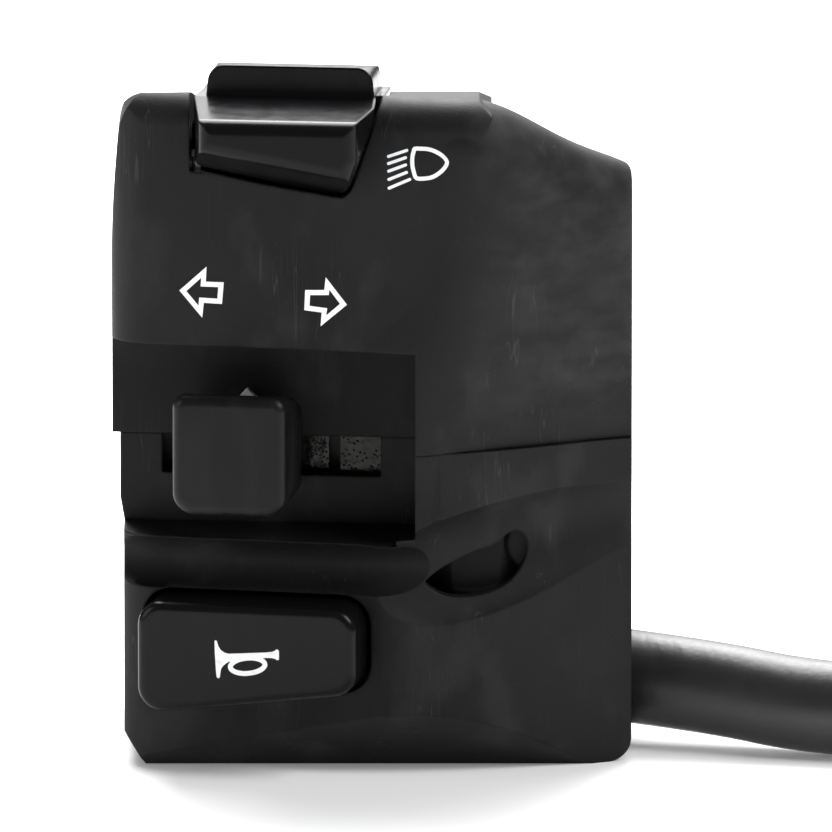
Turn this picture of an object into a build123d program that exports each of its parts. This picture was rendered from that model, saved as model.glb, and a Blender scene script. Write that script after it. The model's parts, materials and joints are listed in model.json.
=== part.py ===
from build123d import *
import math
import os

# Left handlebar switch cluster for a 22 mm bar. Millimetres.
# Origin: the bar's axis, in the plane where the two halves meet.
# +X runs along the bar, -Y faces the rider, +Z is up.

# Fits
overrun = 5.0
face_gap = 0.1
running_gap = 0.05
finger_gap = 0.5

# Bar and housing
bar_radius = 11.0
tunnel_wall = 2.2
back_wall = 3.0
half_length = 26.5
shell_wall = 2.4
height_above = 36.1
depth_below = 33.6
top_round = 3.2
top_fall = 2.6
top_depth = 16.0
waist_depth = 11.5
waist_share = 0.526316
waist_height = height_above * waist_share
lower_step = 0.8
base_front = 24.4
base_back = 4.0
corner_round = 4.5
front_depth = 60.0

# Places and widths along the bar, as shares of the half length
bar_shares = {
    "ridge": 0.264151,
    "ridge_top": 0.460377,
    "ridge_upper": 0.354717,
    "ridge_waist": 0.237736,
    "horn_side": 0.049057,
    "recess_right": 0.166038,
    "slot_left": 0.807547,
    "slot_right": 0.033962,
    "scoop_left": 0.075472,
    "front_screw": 0.4,
    "rear_screw": -0.490566,
    "rocker": -0.296226,
    "rocker_width": 0.732075,
    "rocker_tip_width": 0.596226,
    "rocker_block_width": 0.709434,
    "dimmer_screw": 0.207547,
    "turn": -0.475472,
    "channel_left": 0.407547,
    "channel_right": 0.611321,
    "channel_window": 0.34717,
    "horn": -0.443396,
    "horn_width": 0.860377,
    "horn_base_width": 0.90566,
}

# Drops and heights in the lower half, as shares of its depth
drop_shares = {
    "recess_floor": 0.267857,
    "groove": 0.366071,
    "scoop_left": 0.422619,
    "scoop_right": 0.238095,
    "rim": 0.386905,
    "horn_side": 0.520833,
    "front_seat": 0.327381,
    "rear_seat": 0.267857,
    "horn": -0.633929,
    "horn_left_height": 0.35119,
    "horn_right_height": 0.264881,
    "horn_base_height": 0.267857,
}

# Main front panel
panel_lean = 12.0
ridge_x = half_length * bar_shares["ridge"]
ridge_front = 32.0
ridge_top_x = half_length * bar_shares["ridge_top"]
ridge_corner = 1.3
ridge_upper_x = half_length * bar_shares["ridge_upper"]
ridge_upper_z = 27.6
ridge_waist_x = half_length * bar_shares["ridge_waist"]
ridge_waist_z = 16.5
side_bend_z = 18.0
corner_steps = ((0.6, 5.8), (1.4, 2.1), (2.8, 0.4), (4.2, 0.0))
foot_width = 2.2
foot_height = 3.2
low_draw = 0.4
low_draw_height = 2.3
end_round = 2.4
end_top_round = 2.0
end_lift = 0.2
horn_side_x = half_length * bar_shares["horn_side"]
rim_drop = depth_below * drop_shares["rim"]
horn_side_drop = depth_below * drop_shares["horn_side"]

# Right flank, which falls back from the ridge to the end of the housing
flank_shares = (-0.075472, 0.264151, 0.45283, 0.622642, 0.792453, 1.0)
flank_top_shares = (0.98615, 0.99169, 0.98615, 0.916898, 0.836565, 0.753463)
flank_top_front = (29.7, 31.95, 32.7, 30.1, 26.6, 22.3)
flank_split_front = (29.7, 31.95, 29.7, 27.4, 25.0, 22.6)
flank_lower_front = (29.7, 31.95, 30.3, 28.2, 25.7, 23.2)
flank_base_front = (29.7, 30.3, 29.4, 27.6, 25.2, 22.8)
flank_round = 5.0

# Recess for the turn knob
wall_lean = 6.0
recess_right = half_length * bar_shares["recess_right"]
recess_wall_front = 22.9
recess_top = 10.3
recess_floor = depth_below * drop_shares["recess_floor"]
recess_wall = 1.8
recess_draft = 1.7
recess_corner = 1.9
ledge_depth = 6.0
ledge_drop = 0.6
slot_left = half_length * bar_shares["slot_left"]
slot_right = half_length * bar_shares["slot_right"]
slot_height = 4.1

# Groove and scoop under the recess
groove_radius = 2.6
groove_drop = depth_below * drop_shares["groove"]
scoop_radius = 7.0
scoop_left_x = half_length * bar_shares["scoop_left"]
scoop_left_front = 37.8
scoop_left_drop = depth_below * drop_shares["scoop_left"]
scoop_right_front = 29.5
scoop_right_drop = depth_below * drop_shares["scoop_right"]
# The hooked hole in the scoop, as shares of the half length and the depth
peep_front = 24.9
peep_shares = (
    (0.207932, -0.401977),
    (0.261841, -0.370688),
    (0.331151, -0.34327),
    (0.408163, -0.319335),
    (0.481325, -0.301391),
    (0.519831, -0.275507),
    (0.558337, -0.268178),
    (0.589141, -0.288293),
    (0.596843, -0.328887),
    (0.573739, -0.377199),
    (0.523681, -0.421054),
    (0.45437, -0.445378),
    (0.369657, -0.456553),
    (0.292645, -0.452654),
    (0.238737, -0.434463),
)

# Housing screws
screw_radius = 2.5
screw_length = 20.0
screw_head_radius = 4.4
screw_head_height = 3.2
screw_drive_radius = 2.2
screw_drive_depth = 1.6
tunnel_gap = 0.4
front_screw_x = half_length * bar_shares["front_screw"]
front_screw_y = -19.0
front_seat_drop = depth_below * drop_shares["front_seat"]
front_boss_share = 0.360111
front_boss_height = height_above * front_boss_share
rib_thickness = 1.6
column_wall = 1.6
rear_screw_x = half_length * bar_shares["rear_screw"]
rear_screw_y = 15.9
rear_seat_drop = depth_below * drop_shares["rear_seat"]
rear_boss_share = 0.387812
rear_boss_height = height_above * rear_boss_share
rear_skirt = 4.0
boss_wall = 2.1
screw_play = 0.25

# Dimmer rocker
rocker_x = half_length * bar_shares["rocker"]
rocker_y = -21.8
rocker_sink = 9.1
rocker_z = height_above - rocker_sink
rocker_lean = 7.0
rocker_width = half_length * bar_shares["rocker_width"]
rocker_tip_width = half_length * bar_shares["rocker_tip_width"]
rocker_block_width = half_length * bar_shares["rocker_block_width"]
rocker_reach = 14.2
rocker_crease_height = 8.7
rocker_tip_height = 7.8
rocker_tip_drop = 4.4
rocker_block_height = 11.8
rocker_block_back = 2.9
rocker_crease = 4.2
rocker_opening_back = 5.8
rocker_body_drop = 3.2
rocker_body_back = 3.8
rocker_body_front = 1.8
rocker_barrel_radius = 2.3
rocker_barrel_drop = 6.4
rocker_gap = 0.5
rocker_edge = 0.8
rocker_soft = 1.4
rocker_block_foot = 3.0
rocker_block_draft = 1.1
rocker_block_corner = 1.7
window_corner = 2.2
window_back = 26.8
rocker_window_shares = (
    (-0.707547, 1.163435),
    (-0.707547, 0.795014),
    (-0.09434, 0.706371),
    (0.116981, 1.163435),
)
rocker_under_left = 1.8
rocker_under_right = -1.0
rocker_under_left_reach = 6.1
rocker_under_right_reach = 7.7
pivot_radius = 1.25
ear_thickness = 1.8
ear_half = 2.1
ear_gap = 0.4

# Dimmer contacts
plunger_radius = 1.1
plunger_reach = 8.4
plunger_length = 4.0
plunger_swing = 5.0
plunger_spring_radius = 0.75
plunger_spring_wire = 0.3
plunger_spring_turns = 2.5
bridge_length = 5.4
bridge_width = 4.0
bridge_thickness = 0.6
bridge_gap = 0.2
bridge_tilt = 5.0
fulcrum_height = 0.9
fulcrum_half = 0.6
crest_radius = 0.3
contact_radius = 0.8
contact_height = 0.7
contact_spread = 1.9
contact_margin = 0.3
dimmer_base_depth = 7.4
dimmer_base_thickness = 1.6
dimmer_post_radius = 2.2
dimmer_screw_x = half_length * bar_shares["dimmer_screw"]
dimmer_screw_back = 1.6

# Turn unit, in the frame of the recess wall
turn_x = half_length * bar_shares["turn"]
turn_drop = 2.2
turn_travel = 6.0
cancel_travel = 1.8
shank_width = 5.0
shank_height = 3.2
flange_width = 8.0
flange_height = 6.2
flange_point = 7.2
flange_thickness = 0.8
flange_off = 0.3
stem_width = 6.0
stem_height = 5.0
stem_reach = 8.6
stem_bore = 1.9
stem_bore_depth = 1.6
knob_lean = 5.0
knob_width = 11.8
knob_rise = 1.9
knob_top = 8.6
knob_back_top = 6.9
knob_bottom = -4.1
knob_back_bottom = -3.7
knob_corner = 1.5
knob_foot = 2.2
knob_back = 3.4
knob_front = 12.0
knob_edge = 1.1
pocket_depth = 7.3
pocket_gap = 0.25
knob_pin_radius = 0.7
knob_pin_reach = 6.0
cancel_spring_radius = 1.35
spring_wire = 0.4
cancel_spring_turns = 3
carriage_width = 10.0
carriage_height = 8.4
carriage_thickness = 2.1
slide_plate_thickness = 0.4
slide_plate_right = 8.0
slide_plate_off = 0.75
channel_left = half_length * bar_shares["channel_left"]
channel_right = half_length * bar_shares["channel_right"]
channel_sheet = 0.5
channel_window = half_length * bar_shares["channel_window"]
channel_window_height = 4.0
channel_gap = 0.15
channel_screw_share = -0.309434
channel_tab_off = 1.2
channel_screw_drop = 8.9
channel_boss_radius = 2.1
channel_boss_front = 4.0
channel_tab_half = 2.2
board_thickness = 0.8
strip_width = 1.2
strip_length = 5.0
strip_depth = 0.3
strip_spread = 6.2
wiper_width = 8.0
wiper_thickness = 0.6
detent_radius = 0.75
detent_depth = 2.4
detent_spring_wire = 0.2
detent_x = 3.2

# Horn unit, in the frame of the front panel
horn_x = half_length * bar_shares["horn"]
horn_z = depth_below * drop_shares["horn"]
horn_width = half_length * bar_shares["horn_width"]
horn_left_height = depth_below * drop_shares["horn_left_height"]
horn_right_height = depth_below * drop_shares["horn_right_height"]
horn_round = 2.6
horn_proud = 5.1
horn_edge = 0.9
horn_lip = 1.1
horn_lip_off = 3.9
horn_lip_thickness = 1.2
horn_travel = 2.5
horn_stem_radius = 2.0
horn_base_off = 10.2
horn_base_width = half_length * bar_shares["horn_base_width"]
horn_base_thickness = 1.6
horn_base_height = depth_below * drop_shares["horn_base_height"]
horn_spring_radius = 3.0
horn_spring_wire = 0.55
horn_spring_turns = 4
horn_post_radius = 1.9
horn_post_shares = ((0.226415, 0.279762), (0.301887, -0.206845))
horn_tab_radius = 2.4
horn_contact_x = 7.0
horn_contact_width = 3.0
horn_contact_thickness = 0.5
horn_contact_radius = 1.2
horn_contact_height = 0.5
horn_contact_gap = 0.25

# Small self-tapping screws
tapper_radius = 1.0
tapper_length = 6.0
tapper_play = 0.3
tapper_head_radius = 1.9
tapper_head_height = 1.2

# Harness
sleeve_radius = 4.8
grommet_wall = 1.0
grommet_inward = 4.0
grommet_outward = 0.6
lead_radius = 0.65
lead_circle = 2.2
lead_approach = 4.0
lead_stub = 2.0
board_lead_places = (1.5, 4.0)
horn_lead_place = (3.0, -2.6)
dimmer_lead_places = (-1.0, -4.0)
tail_radius = 0.9
bundle_share = 0.5
bend_share = 0.45
connector_length = 22.0
connector_width = 15.0
connector_height = 9.0
connector_wall = 1.4
connector_rear = 6.0
terminal_width = 1.9
terminal_height = 0.6
terminal_reach = 9.0
terminal_rows = 2
terminal_columns = 3
latch_width = 4.0
latch_length = 9.0
latch_height = 1.6

tunnel_radius = screw_head_radius + tunnel_gap
column_radius = tunnel_radius + column_wall
rear_column_radius = tunnel_radius + boss_wall / 2
tube_radius = bar_radius + tunnel_wall
back_radius = bar_radius + back_wall
outlet_radius = sleeve_radius + grommet_wall

# Middle points of the inner leads, chosen by hand, as shares of the half length,
# the ridge's front and the height or depth of the half they are in
horn_lead_shares = (
    (
        (-0.037736, -0.3875, -0.642857),
        (0.207547, -0.26875, -0.690476),
    ),
    (
        (-0.173585, -0.375, -0.732143),
        (0.207547, -0.2375, -0.803571),
    ),
)
board_lead_shares = (
    (
        (-0.354717, -0.4375, -0.372024),
        (-0.245283, -0.3375, -0.550595),
        (0.207547, -0.20625, -0.613095),
    ),
    (
        (-0.256604, -0.425, -0.357143),
        (-0.143396, -0.3125, -0.482143),
        (0.245283, -0.275, -0.547619),
    ),
)
dimmer_lead_shares = (
    (
        (0.626415, -0.71875, 0.454293),
        (0.792453, -0.625, 0.166204),
        (0.773585, -0.53125, -0.297619),
        (0.581132, -0.3875, -0.446429),
        (0.475472, -0.33125, -0.610119),
    ),
    (
        (0.633962, -0.6125, 0.459834),
        (0.739623, -0.5375, 0.221606),
        (0.701887, -0.465625, -0.252976),
        (0.513208, -0.35, -0.39881),
        (0.4, -0.2625, -0.550595),
    ),
)

# The route of the harness, chosen by hand: past the housing's right end, out, and above its base
harness_places = [
    (-7.5, -11.8, 7.5),
    (7.5, -15.6, 6.4),
    (18.5, -19.9, 4.85),
    (33.5, -23.2, 4.85),
    (55.5, -20.0, 4.85),
    (75.5, -9.5, 4.85),
    (89.0, 9.0, 4.85),
    (88.0, 32.0, 4.85),
    (74.5, 51.0, 4.85),
]
harness_route = [(half_length + past, y, lift - depth_below) for past, y, lift in harness_places]
tail_length = 17.0


def leaned(x, y, z, lean):
    """A frame on a face that leans to the left: local x runs right, local y up, local z out of the face."""
    s, c = math.sin(math.radians(lean)), math.cos(math.radians(lean))
    return Plane(origin=(x, y, z), x_dir=(c, -s, 0), z_dir=(-s, -c, 0))


def in_housing(shares):
    """A point given as shares of the half length, the ridge's front and the height or depth of its half."""
    along, out, rise = shares
    return half_length * along, ridge_front * out, rise * (height_above if rise > 0 else depth_below)


def panel_y(x):
    return -ridge_front + (ridge_x - x) * math.tan(math.radians(panel_lean))


def recess_wall_y(x):
    return -recess_wall_front + (recess_right - x) * math.tan(math.radians(wall_lean))


wall_frame = leaned(turn_x, recess_wall_y(turn_x), -turn_drop, wall_lean)
panel_frame = leaned(horn_x, panel_y(horn_x), horn_z, panel_lean)
rocker_frame = leaned(rocker_x, rocker_y, rocker_z, rocker_lean)


def slab(frame, left, right, bottom, top, back, front):
    """A block between local limits in a leaned frame."""
    middle = ((left + right) / 2, (bottom + top) / 2, (back + front) / 2)
    return frame * (Pos(*middle) * Box(right - left, top - bottom, front - back))


def rod(frame, x, y, back, front, radius):
    """A round rod along a leaned frame's outward direction."""
    return frame * (Pos(x, y, (back + front) / 2) * Cylinder(radius, front - back))


def prism_up(points, bottom, top):
    """A straight-walled solid with a plan outline of (x, y) points."""
    face = make_face(Polyline(*[(x, y, bottom) for x, y in points], close=True))
    return extrude(face, amount=top - bottom, dir=(0, 0, 1))


def prism_along(points, left, right):
    """A solid along the bar with a side outline of (y, z) points."""
    face = make_face(Polyline(*[(left, y, z) for y, z in points], close=True))
    return extrude(face, amount=right - left, dir=(1, 0, 0))


def upright(x, y, bottom, top, radius):
    return Pos(x, y, (bottom + top) / 2) * Cylinder(radius, top - bottom)


def bar_rod(radius, half):
    return Rot(0, 90, 0) * Cylinder(radius, half + half)


def touch_point(y, z, radius, upper):
    """Where a line from (y, z) touches the round back, over or under the bar."""
    away = math.hypot(y, z)
    turn = math.acos(radius / away)
    angle = math.atan2(z, y)
    at = angle - turn if upper else angle + turn
    return radius * math.cos(at), radius * math.sin(at)


def upper_section(x, split_front, top_front, top, inset):
    """One side outline of the upper half, closed along the plane between the halves."""
    back = back_radius - inset
    radius = flank_round - inset
    low = (x, -split_front + inset, 0)
    bend = (x, -top_front + inset, top - flank_round)
    crown = (x, -top_front + inset + radius, top - inset)
    rear_y, rear_z = -top_depth - inset / 2, top - top_fall - inset
    waist_y, waist_z = -waist_depth - inset, waist_height - inset / 2
    ty, tz = touch_point(waist_y, waist_z, back, True)
    half = math.atan2(tz, ty) / 2
    mid = (x, back * math.cos(half), back * math.sin(half))
    edges = [
        Line(low, bend),
        ThreePointArc(
            bend,
            (
                x,
                crown[1] - radius * math.cos(math.pi / 4),
                bend[2] + radius * math.sin(math.pi / 4),
            ),
            crown,
        ),
        Line(crown, (x, rear_y, rear_z)),
        Line((x, rear_y, rear_z), (x, waist_y, waist_z)),
        Line((x, waist_y, waist_z), (x, ty, tz)),
        ThreePointArc((x, ty, tz), mid, (x, back, 0)),
        Line((x, back, 0), low),
    ]
    return Wire(edges)


def lower_section(x, split_front, low_front, inset):
    """One side outline of the lower half."""
    back = back_radius - inset
    base = -depth_below + inset
    ty, tz = touch_point(base_back - inset, base, back, False)
    half = math.atan2(tz, ty) / 2
    mid = (x, back * math.cos(half), back * math.sin(half))
    low = (x, -low_front + inset, base)
    start = (x, -split_front + inset, 0)
    heel = (x, base_back - inset, base)
    edges = [
        Line(start, low),
        Line(low, heel),
        Line(heel, (x, ty, tz)),
        ThreePointArc((x, ty, tz), mid, (x, back, 0)),
        Line((x, back, 0), start),
    ]
    return Wire(edges)


def flank(upper, inset):
    """The flank of one half, lofted through its side outlines."""
    wires = []
    for i, share in enumerate(flank_shares):
        at = half_length * share - (inset if share == flank_shares[-1] else 0)
        if upper:
            top = height_above * flank_top_shares[i]
            wires.append(upper_section(at, flank_split_front[i], flank_top_front[i], top, inset))
        else:
            wires.append(lower_section(at, flank_lower_front[i], flank_base_front[i], inset))
    return Solid.make_loft(wires)


def main_plan(inset, left):
    """The main block seen from above, with its rounded front left corner."""
    shift = inset / math.cos(math.radians(panel_lean))
    right = ridge_top_x + overrun
    outline = Polyline(
        (left + inset, front_depth),
        (left + inset, panel_y(left) + shift),
        (right, panel_y(right) + shift),
        (right, front_depth),
        close=True,
    )
    face = make_face(outline)
    corner = face.vertices().sort_by(Axis.Y)[1]
    face = fillet(corner, corner_round - inset / 2)
    return extrude(Pos(0, 0, -front_depth) * face, amount=front_depth * 2, dir=(0, 0, 1))


def main_side(inset, upper):
    """The main block seen from the side: the top rounds over to the front and falls back to the bar."""
    back = back_radius - inset
    front = -front_depth
    if not upper:
        base = -depth_below + inset
        ty, tz = touch_point(base_back - inset, base, back, False)
        half = math.atan2(tz, ty) / 2
        edges = [
            Line((0, front, 0), (0, front, base)),
            Line((0, front, base), (0, base_back - inset, base)),
            Line((0, base_back - inset, base), (0, ty, tz)),
            ThreePointArc((0, ty, tz), (0, back * math.cos(half), back * math.sin(half)), (0, back, 0)),
            Line((0, back, 0), (0, front, 0)),
        ]
    else:
        rear_y, rear_z = -top_depth - inset / 2, height_above - top_fall - inset
        waist_y, waist_z = -waist_depth - inset, waist_height - inset / 2
        ty, tz = touch_point(waist_y, waist_z, back, True)
        half = math.atan2(tz, ty) / 2
        ahead = rear_z + (rear_y - front) * top_fall / (base_front - top_depth)
        edges = [
            Line((0, front, 0), (0, front, ahead)),
            Line((0, front, ahead), (0, rear_y, rear_z)),
            Line((0, rear_y, rear_z), (0, waist_y, waist_z)),
            Line((0, waist_y, waist_z), (0, ty, tz)),
            ThreePointArc((0, ty, tz), (0, back * math.cos(half), back * math.sin(half)), (0, back, 0)),
            Line((0, back, 0), (0, front, 0)),
        ]
    face = make_face(Wire(edges))
    length = half_length + overrun
    return extrude(Pos(-length, 0, 0) * face, amount=length * 2, dir=(1, 0, 0))


def top_edge_block(inset):
    """The front panel's own prism, with its rounded top edge along the lean."""
    frame = leaned(ridge_x, -ridge_front, 0, panel_lean)
    top = height_above - inset
    radius = top_round
    face = make_face(
        Wire(
            [
                Line((0, -front_depth, -inset), (0, top - radius, -inset)),
                ThreePointArc(
                    (0, top - radius, -inset),
                    (
                        0,
                        top - radius + radius * math.sin(math.pi / 4),
                        -inset - radius + radius * math.cos(math.pi / 4),
                    ),
                    (0, top, -inset - radius),
                ),
                Line((0, top, -inset - radius), (0, top, -front_depth)),
                Line((0, top, -front_depth), (0, -front_depth, -front_depth)),
                Line((0, -front_depth, -front_depth), (0, -front_depth, -inset)),
            ]
        )
    )
    solid = extrude(Pos(-front_depth, 0, 0) * face, amount=front_depth * 2, dir=(1, 0, 0))
    return frame * solid


def main_front(inset, upper):
    """The main block seen from the front: a long soft corner at the top left, and the ridge at the right."""
    if upper:
        left = -half_length + inset
        top = height_above - inset
        above = top + overrun
        ridge = [
            (ridge_top_x - inset, 0, top - ridge_corner),
            (ridge_upper_x - inset, 0, ridge_upper_z),
            (ridge_waist_x - inset, 0, ridge_waist_z),
            (ridge_x - inset, 0, 0),
        ]
        corner = [(left, 0, side_bend_z)]
        corner += [(left + across, 0, top - down) for across, down in corner_steps]
        edges = [
            Line((left, 0, 0), (left, 0, side_bend_z)),
            Spline(*corner, tangents=[(0, 0, 1), (1, 0, 0)]),
            Line(corner[-1], (corner[-1][0], 0, above)),
            Line((corner[-1][0], 0, above), (ridge_top_x - ridge_corner - overrun - inset, 0, above)),
            Line((ridge_top_x - ridge_corner - overrun - inset, 0, above), ridge[0]),
            Spline(*ridge),
            Line(ridge[-1], (left, 0, 0)),
        ]
    else:
        left = -half_length + lower_step + inset
        base = -depth_below + inset
        drawn = left + low_draw
        shoulder = low_draw_height - recess_floor
        edges = [
            Line((left, 0, 0), (ridge_x - inset, 0, 0)),
            Line((ridge_x - inset, 0, 0), (ridge_x - inset, 0, -rim_drop)),
            Line((ridge_x - inset, 0, -rim_drop), (horn_side_x - inset, 0, -horn_side_drop)),
            Line((horn_side_x - inset, 0, -horn_side_drop), (horn_side_x - inset, 0, base)),
            Line((horn_side_x - inset, 0, base), (drawn + foot_width, 0, base)),
            Line((drawn + foot_width, 0, base), (drawn, 0, base + foot_height)),
            Line((drawn, 0, base + foot_height), (drawn, 0, shoulder - low_draw_height)),
            Line((drawn, 0, shoulder - low_draw_height), (left, 0, shoulder)),
            Line((left, 0, shoulder), (left, 0, 0)),
        ]
    face = make_face(Wire(edges))
    return extrude(Pos(0, front_depth, 0) * face, amount=front_depth * 2, dir=(0, -1, 0))


def base_wedge(inset):
    """What the long chamfer under the front face takes away."""
    low = -depth_below
    front = -base_front + inset * math.sqrt(2)
    reach = front_depth
    return prism_along(
        [(front, low), (front - reach, low + reach), (front - reach, low - overrun), (front, low - overrun)],
        -half_length - overrun,
        half_length + overrun,
    )


def end_outline(inset, upper):
    """One half seen from the front, with its rounded outer corner at the right end."""
    right, far = half_length - inset, -half_length - overrun
    if upper:
        start, end = (height_above * share for share in flank_top_shares[-2:])
        before = half_length * flank_shares[-2]
        rise = end_lift - inset
        points = [(right, -overrun), (right, end + rise), (before, start + rise), (before, front_depth)]
        points += [(far, front_depth), (far, -overrun)]
    else:
        points = [(right, overrun), (right, inset - depth_below), (far, inset - depth_below), (far, overrun)]
    face = make_face(Polyline(*[(x, 0, z) for x, z in points], close=True))
    corner = face.vertices().sort_by_distance(Vector(points[1][0], 0, points[1][1]))[0]
    face = fillet(corner, (end_top_round if upper else end_round) - inset / 2)
    return extrude(Pos(0, front_depth, 0) * face, amount=front_depth * 2, dir=(0, -1, 0))


def upper_outer(inset):
    block = main_plan(inset, -half_length) & main_side(inset, True) & top_edge_block(inset)
    block = block & main_front(inset, True)
    return (block + flank(True, inset)) & end_outline(inset, True)


def lower_outer(inset):
    block = main_plan(inset, -half_length + lower_step) & main_side(inset, False)
    block = block & main_front(inset, False)
    return (block + flank(False, inset)) & end_outline(inset, False) - base_wedge(inset)


def recess_pocket(left, grow, floor, top):
    """The space the turn knob lives in. Its right wall has more draft in the lower half."""
    right = recess_right + grow
    lean = 0 if top > 0 else recess_draft
    back = recess_wall_y(recess_right) + grow
    far = -front_depth
    draft = lean * (back - far) / (ridge_front - recess_wall_front)
    points = [
        (left, recess_wall_y(left) + grow),
        (right, recess_wall_y(right) + grow),
        (right + draft, far),
        (left, far),
    ]
    solid = prism_up(points, floor - (grow if floor < 0 else 0), top + (grow if top > 0 else 0))
    if top > 0:
        return solid
    corner = solid.edges().sort_by(Axis.Z)[:4].sort_by(Axis.X)[-1]
    return fillet(corner, recess_corner + grow / 2)


def floor_slope():
    """What the recess floor loses where it falls to the front."""
    frame = leaned(ridge_x, -ridge_front, -recess_floor, panel_lean)
    far = ledge_depth + overrun
    low = -ledge_drop * far / ledge_depth
    face = make_face(Polyline((0, 0, -ledge_depth), (0, low, overrun), (0, 0, overrun), close=True))
    right = (recess_right - ridge_x) - recess_corner
    return frame * extrude(Pos(right, 0, 0) * face, amount=front_depth, dir=(-1, 0, 0))


def groove(grow):
    """The round groove over the horn panel, and the wide scoop that carries it to the right end."""
    frame = leaned(ridge_x, -ridge_front, -groove_drop, panel_lean)
    length = half_length * 2
    rod_right = recess_right + rim_drop
    hollow = Rot(0, 90, 0) * Cylinder(groove_radius + grow, length + rod_right / 2)
    tool = frame * (Pos(-length / 2 + groove_radius, 0, 0) * hollow)
    left = Vector(scoop_left_x, -scoop_left_front, -scoop_left_drop)
    right = Vector(half_length, -scoop_right_front, -scoop_right_drop)
    along = right - left
    scoop_frame = Plane(origin=(left + right) * 0.5, z_dir=along)
    reach = along.length + (overrun + overrun)
    scoop = scoop_frame * Cylinder(scoop_radius + grow, reach)
    return tool, scoop


def peep_hole():
    """The hooked hole in the scoop, which opens into the hollow before the front screw's column."""
    points = [(half_length * along, -front_depth, depth_below * rise) for along, rise in peep_shares]
    face = make_face(Spline(*points, periodic=True))
    return extrude(face, amount=front_depth - peep_front, dir=(0, 1, 0))


def column(x, y, radius, bottom, top):
    return upright(x, y, bottom, top, radius)


def rocker_opening():
    """Everything the rocker needs open, over its whole travel."""
    side = rocker_gap
    block = rocker_block_width / 2 + side
    crease = rocker_width / 2 + side
    tip = rocker_tip_width / 2 + side
    far = rocker_reach + overrun
    points = [
        (-block, -rocker_opening_back),
        (-block, 0),
        (-crease, rocker_crease),
        (-tip, far),
        (tip, far),
        (crease, rocker_crease),
        (block, 0),
        (block, -rocker_opening_back),
    ]
    face = make_face(Polyline(*[(a, 0, h) for a, h in points], close=True))
    low = rocker_body_drop + rocker_gap
    solid = extrude(Pos(0, -low, 0) * face, amount=low + front_depth, dir=(0, 1, 0))
    behind = Pos(0, front_depth - window_back, 0) * Box(*[front_depth * 2] * 3)
    return rocker_frame * (solid - under_rocker(rocker_gap)) & (rocker_window(0) + behind)


def rocker_window(gap):
    """The opening's outline seen from the front: upright at the left, slanted at the right."""
    (left, top), (_, low), (foot, base), (right, _) = rocker_window_shares
    points = [
        (half_length * left + gap, 0, height_above * top),
        (half_length * left + gap, 0, height_above * low + gap),
        (half_length * foot - gap, 0, height_above * base + gap),
        (half_length * right - gap, 0, height_above * top),
    ]
    face = make_face(Polyline(*points, close=True))
    face = fillet(face.vertices().sort_by(Axis.Z)[:2], window_corner - gap)
    return extrude(face, amount=front_depth, dir=(0, -1, 0))


def under_rocker(gap):
    """What lies under the rolled lower face of the front lobe, in the rocker's frame."""
    left = Vector(-rocker_width / 2, rocker_under_left - gap, rocker_under_left_reach)
    right = Vector(rocker_width / 2, rocker_under_right - gap, rocker_under_right_reach)
    tip = Vector(0, rocker_tip_height - rocker_tip_drop - gap, rocker_reach)
    across = right - left
    normal = (tip - left).cross(across)
    plane = Plane(origin=left, x_dir=across, z_dir=normal)
    size = front_depth
    tool = plane * (Pos(0, 0, -size / 2) * Box(size * 2, size * 2, size))
    return tool


def upper_shell():
    keep = recess_pocket(-half_length - overrun, recess_wall, 0, recess_top)
    boss = column(front_screw_x, front_screw_y, screw_radius + boss_wall, 0, front_boss_height + boss_wall)
    rib = slab(
        Plane(origin=(front_screw_x, 0, 0)),
        -rib_thickness / 2,
        rib_thickness / 2,
        -front_depth,
        -bar_radius,
        0,
        front_boss_height,
    )
    cavity = upper_outer(shell_wall) - bar_rod(tube_radius, half_length) - keep - boss - rib
    for sign in (-1, 1):
        x, y = post_place(sign)
        foot = recess_top + recess_wall / 2
        cavity = cavity - upright(x, y, foot, dimmer_base_bottom(), dimmer_post_radius)
    shell = upper_outer(0) + column(rear_screw_x, rear_screw_y, rear_column_radius, 0, rear_boss_height)
    shell = shell - cavity - bar_rod(bar_radius, half_length + overrun)
    shell = shell - recess_pocket(-half_length - overrun, 0, -overrun, recess_top)
    shell = shell - rocker_opening()
    bite = screw_radius + running_gap
    shell = shell - upright(front_screw_x, front_screw_y, -overrun, front_boss_height, bite)
    shell = shell - upright(rear_screw_x, rear_screw_y, -overrun, rear_boss_height - boss_wall, bite)
    for sign in (-1, 1):
        x, y = post_place(sign)
        top = dimmer_base_bottom()
        bottom = top - tapper_bite(dimmer_base_thickness)
        shell = shell - upright(x, y, bottom, top, tapper_radius + running_gap)
    return shell


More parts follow.
